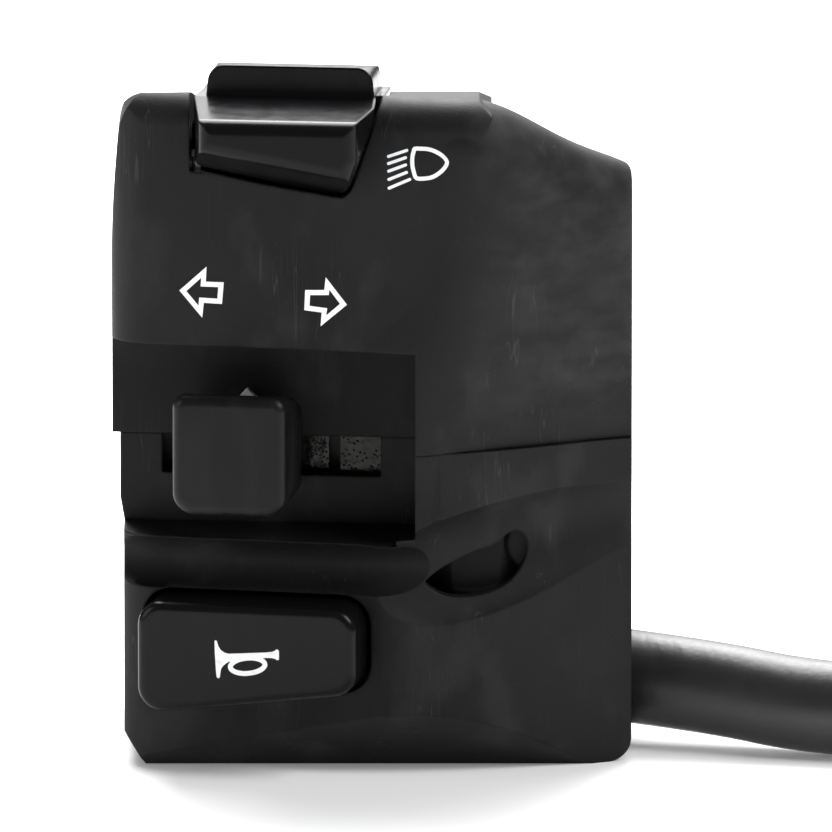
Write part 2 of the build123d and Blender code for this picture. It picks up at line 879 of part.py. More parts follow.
def lower_shell():
    tool, scoop = groove(0)
    thick_tool, thick_scoop = groove(shell_wall - recess_wall + recess_wall / 2)
    keep = recess_pocket(-half_length - overrun, recess_wall, -recess_floor, 0)
    well = column(front_screw_x, front_screw_y, column_radius, -depth_below, 0)
    cavity = lower_outer(shell_wall) - bar_rod(tube_radius, half_length) - keep
    cavity = cavity - thick_tool - thick_scoop - well
    for x, y in horn_post_places():
        cavity = cavity - horn_post(x, y)
    for x in channel_screw_places():
        boss = rod(wall_frame, x, -channel_screw_drop, -recess_wall, channel_boss_front, channel_boss_radius)
        cavity = cavity - boss
    rear = column(rear_screw_x, rear_screw_y, rear_column_radius, -rear_seat_drop - rear_skirt, 0)
    shell = lower_outer(0) - tool - scoop + rear
    shell = shell - cavity - bar_rod(bar_radius, half_length + overrun)
    shell = shell - recess_pocket(-half_length - overrun, 0, -recess_floor, overrun) - floor_slope()
    slot = Pos((slot_right - slot_left) / 2, -recess_wall_front, 0) * Box(
        slot_left + slot_right, (corner_round + recess_wall) * 2, slot_height * 2
    )
    shell = shell - slot
    x, y, seat = front_screw_x, front_screw_y, -front_seat_drop
    shell = shell - upright(x, y, -depth_below - overrun, seat, tunnel_radius)
    shell = shell - upright(x, y, seat, overrun, screw_radius + screw_play)
    shell = shell - upright(
        rear_screw_x, rear_screw_y, -depth_below, -rear_seat_drop, tunnel_radius
    )
    shell = shell - upright(rear_screw_x, rear_screw_y, -rear_seat_drop, overrun, screw_radius + screw_play)
    shell = shell - horn_opening()
    for x, y in horn_post_places():
        depth = tapper_bite(horn_base_thickness)
        bite = tapper_radius + running_gap
        shell = shell - rod(panel_frame, x, y, -horn_base_off, depth - horn_base_off, bite)
    for x in channel_screw_places():
        depth = tapper_bite(channel_sheet) - recess_wall
        shell = shell - rod(
            wall_frame, x, -channel_screw_drop, -recess_wall, depth, tapper_radius + running_gap
        )
    shell = shell - peep_hole()
    return shell - outlet_hole(outlet_radius, grommet_inward, grommet_outward + overrun)


def post_place(sign):
    at = rocker_frame.from_local_coords(Vector(sign * dimmer_screw_x, 0, -dimmer_screw_back))
    return at.X, at.Y


def dimmer_base_top():
    return rocker_z - (plunger_reach + bridge_gap + bridge_thickness + fulcrum_height)


def bridge_axis():
    """Height of the bridge's tilting axis over the rocker's pivot."""
    return dimmer_base_top() - rocker_z + fulcrum_height - running_gap


def dimmer_base_bottom():
    return dimmer_base_top() - dimmer_base_thickness


def horn_post_places():
    return [(half_length * x, depth_below * y) for x, y in horn_post_shares]


def channel_screw_places():
    """The channel's two tabs: one at the left, and one clear of the front screw's tunnel."""
    right = front_screw_x - column_radius - channel_tab_off - channel_tab_half - turn_x
    return [half_length * channel_screw_share, right]


def horn_post(x, y):
    return rod(panel_frame, x, y, -horn_base_off, 0, horn_post_radius)


def horn_outline(grow):
    """The cap's outline: a rounded block whose lower edge climbs to the right."""
    half = horn_width / 2 + grow
    top = horn_left_height / 2 + grow
    low_left = -horn_left_height / 2 - grow
    low_right = horn_left_height / 2 - horn_right_height - grow
    face = make_face(
        Polyline((-half, low_left), (half, low_right), (half, top), (-half, top), close=True)
    )
    return fillet(face.vertices(), horn_round + grow)


def horn_opening():
    face = horn_outline(finger_gap)
    tool = extrude(Pos(0, 0, -shell_wall * 2) * face, amount=shell_wall * 2 + front_depth)
    return panel_frame * tool


def tapper_bite(plate):
    """Depth of the hole a small screw needs under a plate."""
    return tapper_length - tapper_radius - plate + tapper_play


def housing_screws():
    """Two pan-head screws, driven up from below."""
    solids = []
    for x, y, seat in (
        (front_screw_x, front_screw_y, -front_seat_drop),
        (rear_screw_x, rear_screw_y, -rear_seat_drop),
    ):
        head = upright(x, y, seat - screw_head_height, seat, screw_head_radius)
        head = fillet(head.edges().sort_by(Axis.Z)[0], screw_head_height / 3)
        shank = upright(x, y, seat, seat + screw_length, screw_radius)
        shank = chamfer(shank.edges().sort_by(Axis.Z)[-1], screw_radius / 4)
        low = seat - screw_head_height
        cross = Pos(x, y, low) * Box(screw_drive_radius * 2, screw_drive_depth / 2, screw_drive_depth * 2)
        cross += Pos(x, y, low) * Box(screw_drive_depth / 2, screw_drive_radius * 2, screw_drive_depth * 2)
        solids.append(head + shank - cross)
    return solids


def tapper(frame, x, y, seat):
    """A small self-tapping screw, driven outward from behind its seat."""
    head = rod(frame, x, y, seat - tapper_head_height, seat, tapper_head_radius)
    shank = rod(frame, x, y, seat, seat + tapper_length - tapper_radius, tapper_radius)
    slot = slab(
        frame,
        x - tapper_head_radius,
        x + tapper_head_radius,
        y - tapper_radius / 4,
        y + tapper_radius / 4,
        seat - tapper_head_height,
        seat - tapper_head_height / 2,
    )
    return head + shank - slot


def unit_screws():
    solids = []
    for x, y in horn_post_places():
        solids.append(tapper(panel_frame, x, y, -horn_base_off - horn_base_thickness))
    for x in channel_screw_places():
        solids.append(tapper(wall_frame, x, -channel_screw_drop, -recess_wall - channel_sheet))
    for sign in (-1, 1):
        x, y = post_place(sign)
        down = Plane(origin=(x, y, dimmer_base_top()), z_dir=(0, 0, -1))
        solids.append(tapper(down, 0, 0, 0))
    return solids


def rocker_prism(points, low, high):
    """A solid between two heights in the rocker's frame, with a plan outline of (across, out) points."""
    face = make_face(Polyline(*[(a, low, h) for a, h in points], close=True))
    return extrude(face, amount=high - low, dir=(0, 1, 0))


def rocker_side(points, half):
    """A solid across the rocker, with a side outline of (out, up) points."""
    face = make_face(Polyline(*[(-half, b, h) for h, b in points], close=True))
    return extrude(face, amount=half * 2, dir=(1, 0, 0))


def dimmer_rocker():
    block = rocker_block_width / 2
    crease = rocker_width / 2
    tip = rocker_tip_width / 2
    low = -rocker_body_drop
    plan = rocker_prism(
        [
            (-block, -rocker_block_back),
            (-block, 0),
            (-crease, rocker_crease),
            (-tip, rocker_reach),
            (tip, rocker_reach),
            (crease, rocker_crease),
            (block, 0),
            (block, -rocker_block_back),
        ],
        low,
        rocker_block_height,
    )
    side = rocker_side(
        [
            (0, low),
            (0, rocker_crease_height),
            (rocker_crease, rocker_crease_height),
            (rocker_reach, rocker_tip_height),
            (rocker_reach, low),
        ],
        crease,
    )
    lobe = softened((plan & side) - under_rocker(0)) & softened(window_front())
    body = slab(Plane.XY, -block, block, low, rocker_crease_height, -rocker_body_back, rocker_body_front)
    upper = rocker_side(
        [
            (-rocker_block_back, rocker_block_foot),
            (-rocker_block_back, rocker_block_height - rocker_edge),
            (rocker_crease - rocker_edge, rocker_block_height),
            (rocker_crease - rocker_edge, rocker_block_foot),
        ],
        block,
    )
    across = make_face(
        Polyline(
            (-block, 0, 0),
            (rocker_block_draft - block, rocker_block_height, 0),
            (block - rocker_block_draft, rocker_block_height, 0),
            (block, 0, 0),
            close=True,
        )
    )
    across = fillet(across.vertices().sort_by(Axis.Y)[-2:], rocker_block_corner)
    upper = upper & extrude(Pos(0, 0, -front_depth) * across, amount=front_depth * 2, dir=(0, 0, 1))
    barrel = Rot(90, 0, 0) * Cylinder(rocker_barrel_radius, rocker_barrel_drop)
    barrel = Pos(0, -rocker_barrel_drop / 2, 0) * barrel
    solid = lobe + body + upper + Rot(plunger_swing, 0, 0) * barrel
    solid = solid - Rot(0, 90, 0) * Cylinder(pivot_radius + running_gap, crease * 2 + overrun)
    depth = rocker_barrel_drop - plunger_bore_top()
    middle = -(rocker_barrel_drop + overrun + plunger_bore_top()) / 2
    bore = Pos(0, middle, 0) * Rot(90, 0, 0) * Cylinder(plunger_radius + running_gap, depth + overrun)
    return rocker_frame * (solid - Rot(plunger_swing, 0, 0) * bore)


def softened(solid):
    """A solid with the edges of its front face rounded for the thumb."""
    return fillet(solid.faces().sort_by(Axis.Z)[-1].edges(), rocker_soft)


def window_front():
    """What the opening lets through of the rocker, as deep as the lobe reaches."""
    length = front_depth * 2
    reach = Pos(0, 0, rocker_reach - length / 2) * Box(length, length * 2, length)
    return reach & rocker_frame.location.inverse() * rocker_window(rocker_gap)


def plunger_bore_top():
    return pivot_radius + face_gap + face_gap


def rocker_pin():
    half = rocker_width / 2 + ear_gap + ear_thickness
    return rocker_frame * (Rot(0, 90, 0) * Cylinder(pivot_radius, half * 2))


def ears():
    """The two ears of the dimmer base that hold the rocker's pin."""
    base = dimmer_base_top() - rocker_z
    solids = []
    for sign in (-1, 1):
        x = sign * (rocker_width / 2 + ear_gap + ear_thickness / 2)
        plate = Pos(x, (ear_half + base) / 2, 0) * Box(ear_thickness, ear_half - base, ear_half * 2)
        solids.append(plate)
    return solids


def dimmer_base():
    top = dimmer_base_top() - rocker_z
    half = rocker_width / 2 + ear_gap + ear_thickness
    depth = dimmer_base_depth
    plate = Pos(0, top - dimmer_base_thickness / 2, ear_half - depth / 2) * Box(
        half * 2, dimmer_base_thickness, depth
    )
    reach = contact_spread + contact_radius + contact_margin
    tongue = Pos(0, top - dimmer_base_thickness / 2, reach / 2) * Box(
        bridge_width, dimmer_base_thickness, reach
    )
    solid = plate + tongue
    for ear in ears():
        solid += ear
    solid += Pos(0, top + fulcrum_height / 2, 0) * Box(
        bridge_width, fulcrum_height, fulcrum_half * 2
    )
    solid += Pos(0, bridge_axis(), 0) * Rot(0, 90, 0) * Cylinder(crest_radius, bridge_width)
    solid -= Rot(0, 90, 0) * Cylinder(pivot_radius + running_gap / 2, half * 2 + overrun)
    for sign in (-1, 1):
        solid -= Pos(sign * dimmer_screw_x, top - dimmer_base_thickness / 2, -dimmer_screw_back) * (
            Rot(90, 0, 0) * Cylinder(tapper_radius + running_gap, dimmer_base_thickness * 2)
        )
        solid -= Pos(0, top, sign * contact_spread) * (
            Rot(90, 0, 0) * Cylinder(contact_radius, dimmer_base_thickness * 4)
        )
    return rocker_frame * solid


def dimmer_contacts():
    """Brass rivets under the ends of the tilting bridge."""
    top = dimmer_base_top() - rocker_z
    solids = []
    for sign in (-1, 1):
        low = top - dimmer_base_thickness - contact_height
        high = top + contact_height
        rivet = Pos(0, (low + high) / 2, sign * contact_spread) * (
            Rot(90, 0, 0) * Cylinder(contact_radius, high - low)
        )
        solids.append(rocker_frame * rivet)
    return solids


def dimmer_bridge():
    """The tilting brass bridge on its fulcrum, leaning to the side that the rocker's plunger presses."""
    low = -(plunger_reach + bridge_gap + bridge_thickness)
    plate = Pos(0, bridge_thickness / 2 + face_gap, 0) * Box(bridge_width, bridge_thickness, bridge_length)
    for sign in (-1, 1):
        stop = Pos(0, bridge_thickness + face_gap, sign * (bridge_length - bridge_thickness) / 2) * Box(
            bridge_width, bridge_thickness, bridge_thickness
        )
        plate += stop
    tilted = Pos(0, low, 0) * Rot(-bridge_tilt, 0, 0) * plate
    groove = Rot(0, 90, 0) * Cylinder(crest_radius + running_gap, bridge_width + overrun)
    return rocker_frame * (tilted - Pos(0, bridge_axis(), 0) * groove)


def rocker_plunger():
    """The sprung plunger in the rocker: a rod with a round nose."""
    nose = Pos(0, -plunger_reach + plunger_radius, 0) * Sphere(plunger_radius)
    length = plunger_length - plunger_radius
    stem = Pos(0, -plunger_reach + plunger_radius + length / 2, 0) * (
        Rot(90, 0, 0) * Cylinder(plunger_radius, length)
    )
    return rocker_frame * (Rot(plunger_swing, 0, 0) * (nose + stem))


def coil(radius, wire, turns, length):
    """A compression spring along +Z from zero, made of half turns that each climb a little."""
    pitch = (length - wire) / turns
    path = Helix(pitch=pitch, height=length - wire, radius=radius)
    slope = math.atan2(pitch, math.tau * radius)
    print("spring: least gap to itself", round(pitch * math.cos(slope) - wire, 2))
    start = path @ 0
    section = Plane(origin=start, z_dir=path % 0) * Circle(wire / 2)
    return Pos(0, 0, wire / 2) * sweep(section, path=path, is_frenet=True)


def rocker_spring():
    top = plunger_bore_top() + face_gap / 2
    length = plunger_reach - plunger_length - top - face_gap / 2
    spring = coil(plunger_spring_radius, plunger_spring_wire, plunger_spring_turns, length)
    placed = Rot(plunger_swing, 0, 0) * (Rot(90, 0, 0) * (Pos(0, 0, top) * spring))
    return rocker_frame * placed


def turn_lever():
    """The white nylon lever: shank through the slot, pointed flange before the wall, stem inside the knob."""
    half = shank_width / 2
    low = carriage_back()
    shank = slab(Plane.XY, -half, half, -shank_height / 2, shank_height / 2, low, flange_off)
    w, h, p = flange_width / 2, flange_height / 2, flange_point
    corners = [(-w, -h), (w, -h), (w, h), (0, p), (-w, h)]
    outline = Polyline(*[(x, y, flange_off) for x, y in corners], close=True)
    flange = extrude(make_face(outline), amount=flange_thickness, dir=(0, 0, 1))
    top = flange_off + flange_thickness
    rise = stem_rise()
    low, high = rise - stem_height / 2, rise + stem_height / 2
    stem = slab(Plane.XY, -stem_width / 2, stem_width / 2, low, high, top, stem_reach)
    solid = shank + flange + stem
    solid -= rod(Plane.XY, 0, rise, stem_reach - stem_bore_depth, stem_reach + overrun, stem_bore)
    slot_back = knob_pin_place() - cancel_travel - knob_pin_radius - face_gap
    slot_front = knob_pin_place() + knob_pin_radius + face_gap
    solid -= slab(
        Plane.XY,
        -knob_pin_radius - face_gap,
        knob_pin_radius + face_gap,
        rise - stem_height,
        rise + stem_height,
        slot_back,
        slot_front,
    )
    return wall_frame * solid


def stem_rise():
    return knob_rise - knob_rise / 4


def knob_pin_place():
    return knob_back + knob_pin_radius + cancel_travel


def turn_knob():
    """The knob: a soft-edged block that sits on the stem and can be pushed in."""
    half = knob_width / 2
    side = Polyline(
        (-half, knob_back_bottom, knob_back),
        (-half, knob_back_top, knob_back),
        (-half, knob_top, knob_front),
        (-half, knob_bottom, knob_front),
        close=True,
    )
    block = extrude(make_face(side), amount=knob_width, dir=(1, 0, 0))
    long = block.edges().filter_by(Axis.X, reverse=True).filter_by(Axis.Y, reverse=True)
    block = fillet(long.sort_by(Axis.Y)[-2:], knob_corner)
    long = block.edges().filter_by(lambda e: e.length > knob_front - knob_back - knob_edge)
    long = long.filter_by(Axis.X, reverse=True).filter_by(Axis.Y, reverse=True)
    block = fillet(long.sort_by(Axis.Y)[:2], knob_foot)
    block = fillet(block.faces().sort_by(Axis.Z)[-1].edges(), knob_edge)
    lean = Pos(0, 0, knob_back) * Rot(0, -knob_lean, 0) * Pos(0, 0, -knob_back)
    block = lean * block
    rise = stem_rise()
    pocket = slab(
        Plane.XY,
        -stem_width / 2 - pocket_gap,
        stem_width / 2 + pocket_gap,
        rise - stem_height / 2 - pocket_gap,
        rise + stem_height / 2 + pocket_gap,
        knob_back - overrun,
        knob_back + pocket_depth,
    )
    pin = Pos(0, rise, knob_pin_place()) * Rot(90, 0, 0) * Cylinder(knob_pin_radius, knob_pin_reach * 2)
    return wall_frame * (block - pocket - pin)


def knob_pin():
    rise = stem_rise()
    pin = Rot(90, 0, 0) * Cylinder(knob_pin_radius, knob_pin_reach * 2 - knob_pin_radius)
    return wall_frame * (Pos(0, rise, knob_pin_place()) * pin)


def cancel_spring():
    low = stem_reach - stem_bore_depth + face_gap
    length = knob_back + pocket_depth - low - face_gap
    spring = coil(cancel_spring_radius, spring_wire, cancel_spring_turns, length)
    return wall_frame * (Pos(0, stem_rise(), low) * spring)


def carriage_back():
    return -recess_wall - slide_plate_off - slide_plate_thickness - carriage_thickness


def turn_slide_plate():
    """The greased steel face of the carriage, which closes the slot beside the lever."""
    back = carriage_back() + carriage_thickness
    front = back + slide_plate_thickness
    half_w, half_h = shank_width / 2, shank_height / 2
    tall = carriage_height / 2
    plate = slab(Plane.XY, -carriage_width / 2, slide_plate_right, -tall, tall, back, front)
    hole = slab(Plane.XY, -half_w, half_w, -half_h, half_h, back - overrun, front + overrun)
    return wall_frame * (plate - hole)


def turn_carriage():
    back = carriage_back()
    front = back + carriage_thickness
    wide, tall = carriage_width / 2, carriage_height / 2
    block = slab(Plane.XY, -wide, wide, -tall, tall, back, front)
    block -= slab(
        Plane.XY,
        -shank_width / 2,
        shank_width / 2,
        -shank_height / 2,
        shank_height / 2,
        back - overrun,
        front + overrun,
    )
    block -= Pos(detent_x, -carriage_height / 2, (back + front) / 2) * Rot(90, 0, 0) * Cylinder(
        detent_radius + running_gap, detent_depth * 2
    )
    wide = wiper_width / 2 + running_gap
    tall = shank_height / 2 + strip_width + face_gap
    block -= slab(Plane.XY, -wide, wide, shank_height / 2, tall, back - overrun, back + wiper_thickness)
    return wall_frame * block


def turn_wiper():
    """The brass bridge in the carriage's back, which joins the strips on the board."""
    back = carriage_back()
    low = shank_height / 2 + running_gap
    high = low + strip_width
    return slab(
        wall_frame,
        -wiper_width / 2,
        wiper_width / 2,
        low,
        high,
        back - face_gap / 2,
        back + wiper_thickness - face_gap,
    )


def turn_board():
    """The insulating board behind the carriage."""
    front = carriage_back() - channel_gap
    back = front - board_thickness
    half = carriage_height / 2 + channel_gap
    left, right = -channel_left + channel_sheet, channel_right - channel_sheet
    board = slab(Plane.XY, left, right, -half, half, back, front)
    low = shank_height / 2 + running_gap
    for x in strip_places():
        board -= slab(
            Plane.XY,
            x - strip_length / 2,
            x + strip_length / 2,
            low,
            low + strip_width,
            front - strip_depth,
            front + overrun,
        )
    return wall_frame * board


def strip_places():
    return (-strip_spread, 0, strip_spread)


def turn_strips():
    """Three brass strips let into the board."""
    front = carriage_back() - channel_gap
    low = shank_height / 2 + running_gap
    high = low + strip_width
    half = strip_length / 2
    places = strip_places()
    return [slab(wall_frame, x - half, x + half, low, high, front - strip_depth, front) for x in places]


def turn_channel():
    """The folded steel channel that the carriage slides in, with two screwed tabs under it."""
    inner = carriage_height / 2 + channel_gap
    outer = inner + channel_sheet
    board_back = carriage_back() - channel_gap - board_thickness
    back = board_back - channel_sheet
    front = -recess_wall - face_gap
    right = channel_right - channel_sheet
    body = slab(Plane.XY, -channel_left, channel_right, -outer, outer, back, front)
    body -= slab(Plane.XY, -channel_left - overrun, right, -inner, inner, board_back, front - channel_sheet)
    half = channel_window_height / 2
    body -= slab(Plane.XY, -channel_window, channel_window, -half, half, front - channel_sheet * 2, overrun)
    low = -channel_screw_drop - channel_tab_half
    for x in channel_screw_places():
        body += slab(
            Plane.XY,
            x - channel_tab_half,
            x + channel_tab_half,
            low,
            -inner,
            -recess_wall - channel_sheet,
            -recess_wall,
        )
    for x in channel_screw_places():
        body -= rod(Plane.XY, x, -channel_screw_drop, back, overrun, tapper_radius + running_gap)
    for x in board_lead_places:
        play = lead_radius + face_gap
        body -= slab(Plane.XY, x - play, x + play, -outer - overrun, -inner, back - overrun, back + play * 3)
    middle = carriage_back() + carriage_thickness / 2
    notch = Rot(90, 0, 0) * Cylinder(detent_radius * 2 / 3, channel_sheet * 4)
    for x in (-turn_travel, 0, turn_travel):
        body -= Pos(detent_x + x, -outer, middle) * notch
    return wall_frame * body


def turn_detent_ball():
    middle = carriage_back() + carriage_thickness / 2
    inner = carriage_height / 2 + channel_gap
    y = -inner + detent_radius + face_gap / 2
    return wall_frame * (Pos(detent_x, y, middle) * Sphere(detent_radius))


def turn_detent_spring():
    middle = carriage_back() + carriage_thickness / 2
    inner = carriage_height / 2 + channel_gap
    low = -inner + detent_radius * 2 + face_gap
    high = -carriage_height / 2 + detent_depth - face_gap / 2
    spring = coil(detent_radius - detent_spring_wire, detent_spring_wire, 1, high - low)
    return wall_frame * (Pos(detent_x, low, middle) * Rot(-90, 0, 0) * spring)


def horn_button():
    """The horn cap with its soft edge, its lips behind the panel and its guide stem."""
    back = horn_back()
    cap = extrude(Pos(0, 0, back) * horn_outline(0), amount=horn_proud - back)
    cap = fillet(cap.faces().sort_by(Axis.Z)[-1].edges(), horn_edge)
    half_w = horn_width / 2 - horn_round
    half_h = horn_left_height
    lip = extrude(Pos(0, 0, back) * horn_outline(horn_lip), amount=horn_lip_thickness)
    lip = lip & slab(Plane.XY, -half_w, half_w, -half_h, half_h, back, 0)
    stem = rod(Plane.XY, 0, 0, -horn_base_off - horn_base_thickness + face_gap, back, horn_stem_radius)
    return panel_frame * (cap + lip + stem)


def horn_back():
    return -horn_lip_off - horn_lip_thickness


def horn_spring():
    low = -horn_base_off + face_gap / 2
    length = horn_back() - face_gap / 2 - low
    spring = coil(horn_spring_radius, horn_spring_wire, horn_spring_turns, length)
    return panel_frame * (Pos(0, 0, low) * spring)


def horn_base():
    """The insulating plate behind the horn cap, screwed to its two posts."""
    front = -horn_base_off
    back = front - horn_base_thickness
    half_h = horn_base_height / 2
    half_w = horn_base_width / 2
    plate = slab(Plane.XY, horn_tab_radius - half_w, half_w, -half_h, half_h, back, front)
    for x, y in horn_post_places():
        plate += slab(Plane.XY, x - horn_tab_radius, x + horn_tab_radius, min(0, y), max(0, y), back, front)
        plate += rod(Plane.XY, x, y, back, front, horn_tab_radius)
    for x, y in horn_post_places():
        plate -= rod(Plane.XY, x, y, back - overrun, front + overrun, tapper_radius + running_gap)
    plate -= rod(Plane.XY, 0, 0, back - overrun, front + overrun, horn_stem_radius + face_gap)
    plate -= rod(Plane.XY, horn_contact_x, 0, back - overrun, front + overrun, horn_contact_radius)
    return panel_frame * plate


def horn_fixed_contact():
    front = -horn_base_off + horn_contact_height
    back = -horn_base_off - horn_base_thickness - horn_contact_height
    return rod(panel_frame, horn_contact_x, 0, back, front, horn_contact_radius)


def horn_moving_contact():
    """A bent brass leaf under the cap."""
    t, w = horn_contact_thickness, horn_contact_width / 2
    foot = horn_back()
    tip = -horn_base_off + horn_contact_height + horn_travel + horn_contact_gap
    leaf = slab(Plane.XY, horn_stem_radius + horn_spring_radius, horn_contact_x + w, -w, w, foot - t, foot)
    leaf += slab(Plane.XY, horn_contact_x + w - t, horn_contact_x + w, -w, w, tip, foot)
    leaf += slab(Plane.XY, horn_contact_x - w, horn_contact_x + w, -w, w, tip, tip + t)
    return panel_frame * leaf


def route(points):
    """Straight runs joined by tangent arcs, each as large as its two runs allow."""
    vectors = [Vector(*p) for p in points]
    radii = []
    for a, b, c in zip(vectors, vectors[1:], vectors[2:]):
        turn = (b - a).get_angle(c - b)
        shorter = min((b - a).length, (c - b).length)
        radii.append(bend_share * shorter / math.tan(math.radians(turn / 2)))
    return FilletPolyline(*vectors, radius=radii), radii


def tube(points, radius):
    path, radii = route(points)
    section = Plane(origin=path @ 0, z_dir=path % 0) * Circle(radius)
    solid = sweep(section, path=path)
    expected = math.pi * radius**2 * path.length
    print("tube radii", [round(r, 1) for r in radii], "length", round(path.length, 1))
    print("volume share", round(solid.volume / expected, 4))
    return solid


def sleeve_frame(at):
    """A frame across the harness where it leaves the housing, at a distance along the first run."""
    a, b = Vector(*harness_route[0]), Vector(*harness_route[1])
    along = (b - a).normalized()
    return Plane(origin=a + along * at, x_dir=(0, 0, 1), z_dir=along)


def lead_end(place):
    """Where one of six leads meets the sleeve's inner end, and the point it comes from."""
    angle = math.tau * place / 6
    across, up = lead_circle * math.cos(angle), lead_circle * math.sin(angle)
    frame = sleeve_frame(0)
    near = frame.from_local_coords(Vector(across, up, -lead_approach))
    return [near, frame.from_local_coords(Vector(across, up, 0))]


def inner_leads():
    """Two leads from each unit to the sleeve."""
    board_back = carriage_back() - channel_gap - board_thickness
    board_low = -carriage_height / 2 - channel_gap
    horn_back_face = -horn_base_off - horn_base_thickness
    plate_right = rocker_width / 2 + ear_gap + ear_thickness
    plate_middle = dimmer_base_top() - dimmer_base_thickness / 2 - rocker_z
    inward, down, right = (0, 0, -lead_stub), (0, -lead_stub, 0), (lead_stub, 0, 0)
    board_middle = board_back + board_thickness / 2
    starts = [
        (panel_frame, (horn_contact_x, 0, horn_back_face - horn_contact_height), inward),
        (panel_frame, (*horn_lead_place, horn_back_face), inward),
        (wall_frame, (board_lead_places[0], board_low, board_middle), down),
        (wall_frame, (board_lead_places[1], board_low, board_middle), down),
        (rocker_frame, (plate_right, plate_middle, dimmer_lead_places[0]), right),
        (rocker_frame, (plate_right, plate_middle, dimmer_lead_places[1]), right),
    ]
    middles = [*horn_lead_shares, *board_lead_shares, *dimmer_lead_shares]
    slots = (0, 5, 4, 3, 1, 2)
    solids = []
    for (frame, start, stub), middle, place in zip(starts, middles, slots):
        points = [frame.from_local_coords(Vector(*start))]
        points.append(frame.from_local_coords(Vector(*start) + Vector(*stub)))
        points += [Vector(*in_housing(shares)) for shares in middle]
        points += lead_end(place)
        solids.append(tube([tuple(p) for p in points], lead_radius))
    return solids


def wall_crossing():
    a, b = Vector(*harness_route[0]), Vector(*harness_route[1])
    return (half_length - a.X) / (b - a).normalized().X


def outlet_hole(radius, inward, outward):
    middle = (outward - inward) / 2
    return sleeve_frame(wall_crossing() + middle) * Cylinder(radius, inward + outward)


def outlet_grommet():
    ring = outlet_hole(outlet_radius - running_gap, grommet_inward, grommet_outward + overrun)
    ring = ring - outlet_hole(sleeve_radius, grommet_inward + overrun, grommet_outward + overrun * 2)
    beyond = Box(front_depth, front_depth * 2, front_depth * 2)
    return ring - Pos(half_length + front_depth / 2, 0, 0) * beyond


def harness_sleeve():
    return tube(harness_route, sleeve_radius)


def connector_frame():
    a, b = Vector(*harness_route[-2]), Vector(*harness_route[-1])
    along = (b - a).normalized()
    place = b + along * tail_length
    return Plane(origin=place, x_dir=(0, 0, 1), z_dir=along)


def connector_housing():
    """The nylon connector, with a cavity for each terminal and a latch on its top."""
    frame = connector_frame()
    drop = connector_drop()
    body = Pos(drop, 0, connector_length / 2) * Box(connector_height, connector_width, connector_length)
    body = fillet(body.edges().filter_by(Axis.Z), connector_wall / 2)
    mouth = Pos(drop, 0, connector_length) * Box(
        connector_height - connector_wall * 2,
        connector_width - connector_wall * 2,
        (connector_length - connector_rear) * 2,
    )
    body -= mouth
    for x, y in terminal_places():
        body -= Pos(drop + x, y, 0) * Cylinder(tail_radius + running_gap, connector_rear * 3)
    latch = Pos(drop + connector_height / 2, 0, connector_length - latch_length / 2 - connector_wall) * Box(
        latch_height, latch_width, latch_length
    )
    body += latch
    return frame * body


def connector_drop():
    """How far the connector's middle lies below the end of the route, so that it rests on the surface."""
    return -(harness_route[-1][2] + depth_below - connector_height / 2)


def terminal_places():
    row_step = (connector_height - connector_wall * 2) / terminal_rows
    column_step = (connector_width - connector_wall * 2) / terminal_columns
    places = []
    for row in range(terminal_rows):
        for across in range(terminal_columns):
            x = (row - (terminal_rows - 1) / 2) * row_step
            y = (across - (terminal_columns - 1) / 2) * column_step
            places.append((x, y))
    return places


def connector_terminals():
    frame = connector_frame()
    drop = connector_drop()
    middle = connector_rear + terminal_reach / 2
    blade = Box(terminal_height, terminal_width, terminal_reach)
    return [frame * (Pos(drop + x, y, middle) * blade) for x, y in terminal_places()]


def tail_leads():
    """The bare leads between the sleeve's end and the connector."""
    frame = connector_frame()
    drop = connector_drop()
    solids = []
    for i, (x, y) in enumerate(terminal_places()):
        bundle = sleeve_radius * bundle_share
        sx, sy = x * bundle / (connector_height / 4), y * bundle / (connector_width / 3)
        points = [
            (sx, sy, -tail_length),
            (sx, sy, -tail_length * 3 / 4),
            (drop + x, y, -tail_length / 4),
            (drop + x, y, connector_rear),
        ]
        placed = [frame.from_local_coords(Vector(*p)) for p in points]
        solids.append(tube([tuple(p) for p in placed], tail_radius))
    return solids


nodes = {
    "upper_shell": upper_shell,
    "lower_shell": lower_shell,
    "housing_screws": housing_screws,
    "unit_screws": unit_screws,
    "dimmer_rocker": dimmer_rocker,
    "rocker_pin": rocker_pin,
    "rocker_plunger": rocker_plunger,
    "rocker_spring": rocker_spring,
    "dimmer_bridge": dimmer_bridge,
    "dimmer_base": dimmer_base,
    "dimmer_contacts": dimmer_contacts,
    "turn_knob": turn_knob,
    "knob_pin": knob_pin,
    "cancel_spring": cancel_spring,
    "turn_lever": turn_lever,
    "turn_carriage": turn_carriage,
    "turn_slide_plate": turn_slide_plate,
    "turn_wiper": turn_wiper,
    "turn_detent_ball": turn_detent_ball,
    "turn_detent_spring": turn_detent_spring,
    "turn_board": turn_board,
    "turn_strips": turn_strips,
    "turn_channel": turn_channel,
    "horn_button": horn_button,
    "horn_spring": horn_spring,
    "horn_moving_contact": horn_moving_contact,
    "horn_fixed_contact": horn_fixed_contact,
    "horn_base": horn_base,
    "inner_leads": inner_leads,
    "outlet_grommet": outlet_grommet,
    "harness_sleeve": harness_sleeve,
    "tail_leads": tail_leads,
    "connector_housing": connector_housing,
    "connector_terminals": connector_terminals,
}

if __name__ == "__main__":
    os.makedirs("parts", exist_ok=True)
    for name, make in nodes.items():
        made = make()
        solids = made if isinstance(made, list) else [made]
        shape = Compound(children=[s for item in solids for s in item.solids()])
        print(name, len(shape.solids()), round(shape.volume, 2))
        export_step(shape, f"parts/{name}.step")
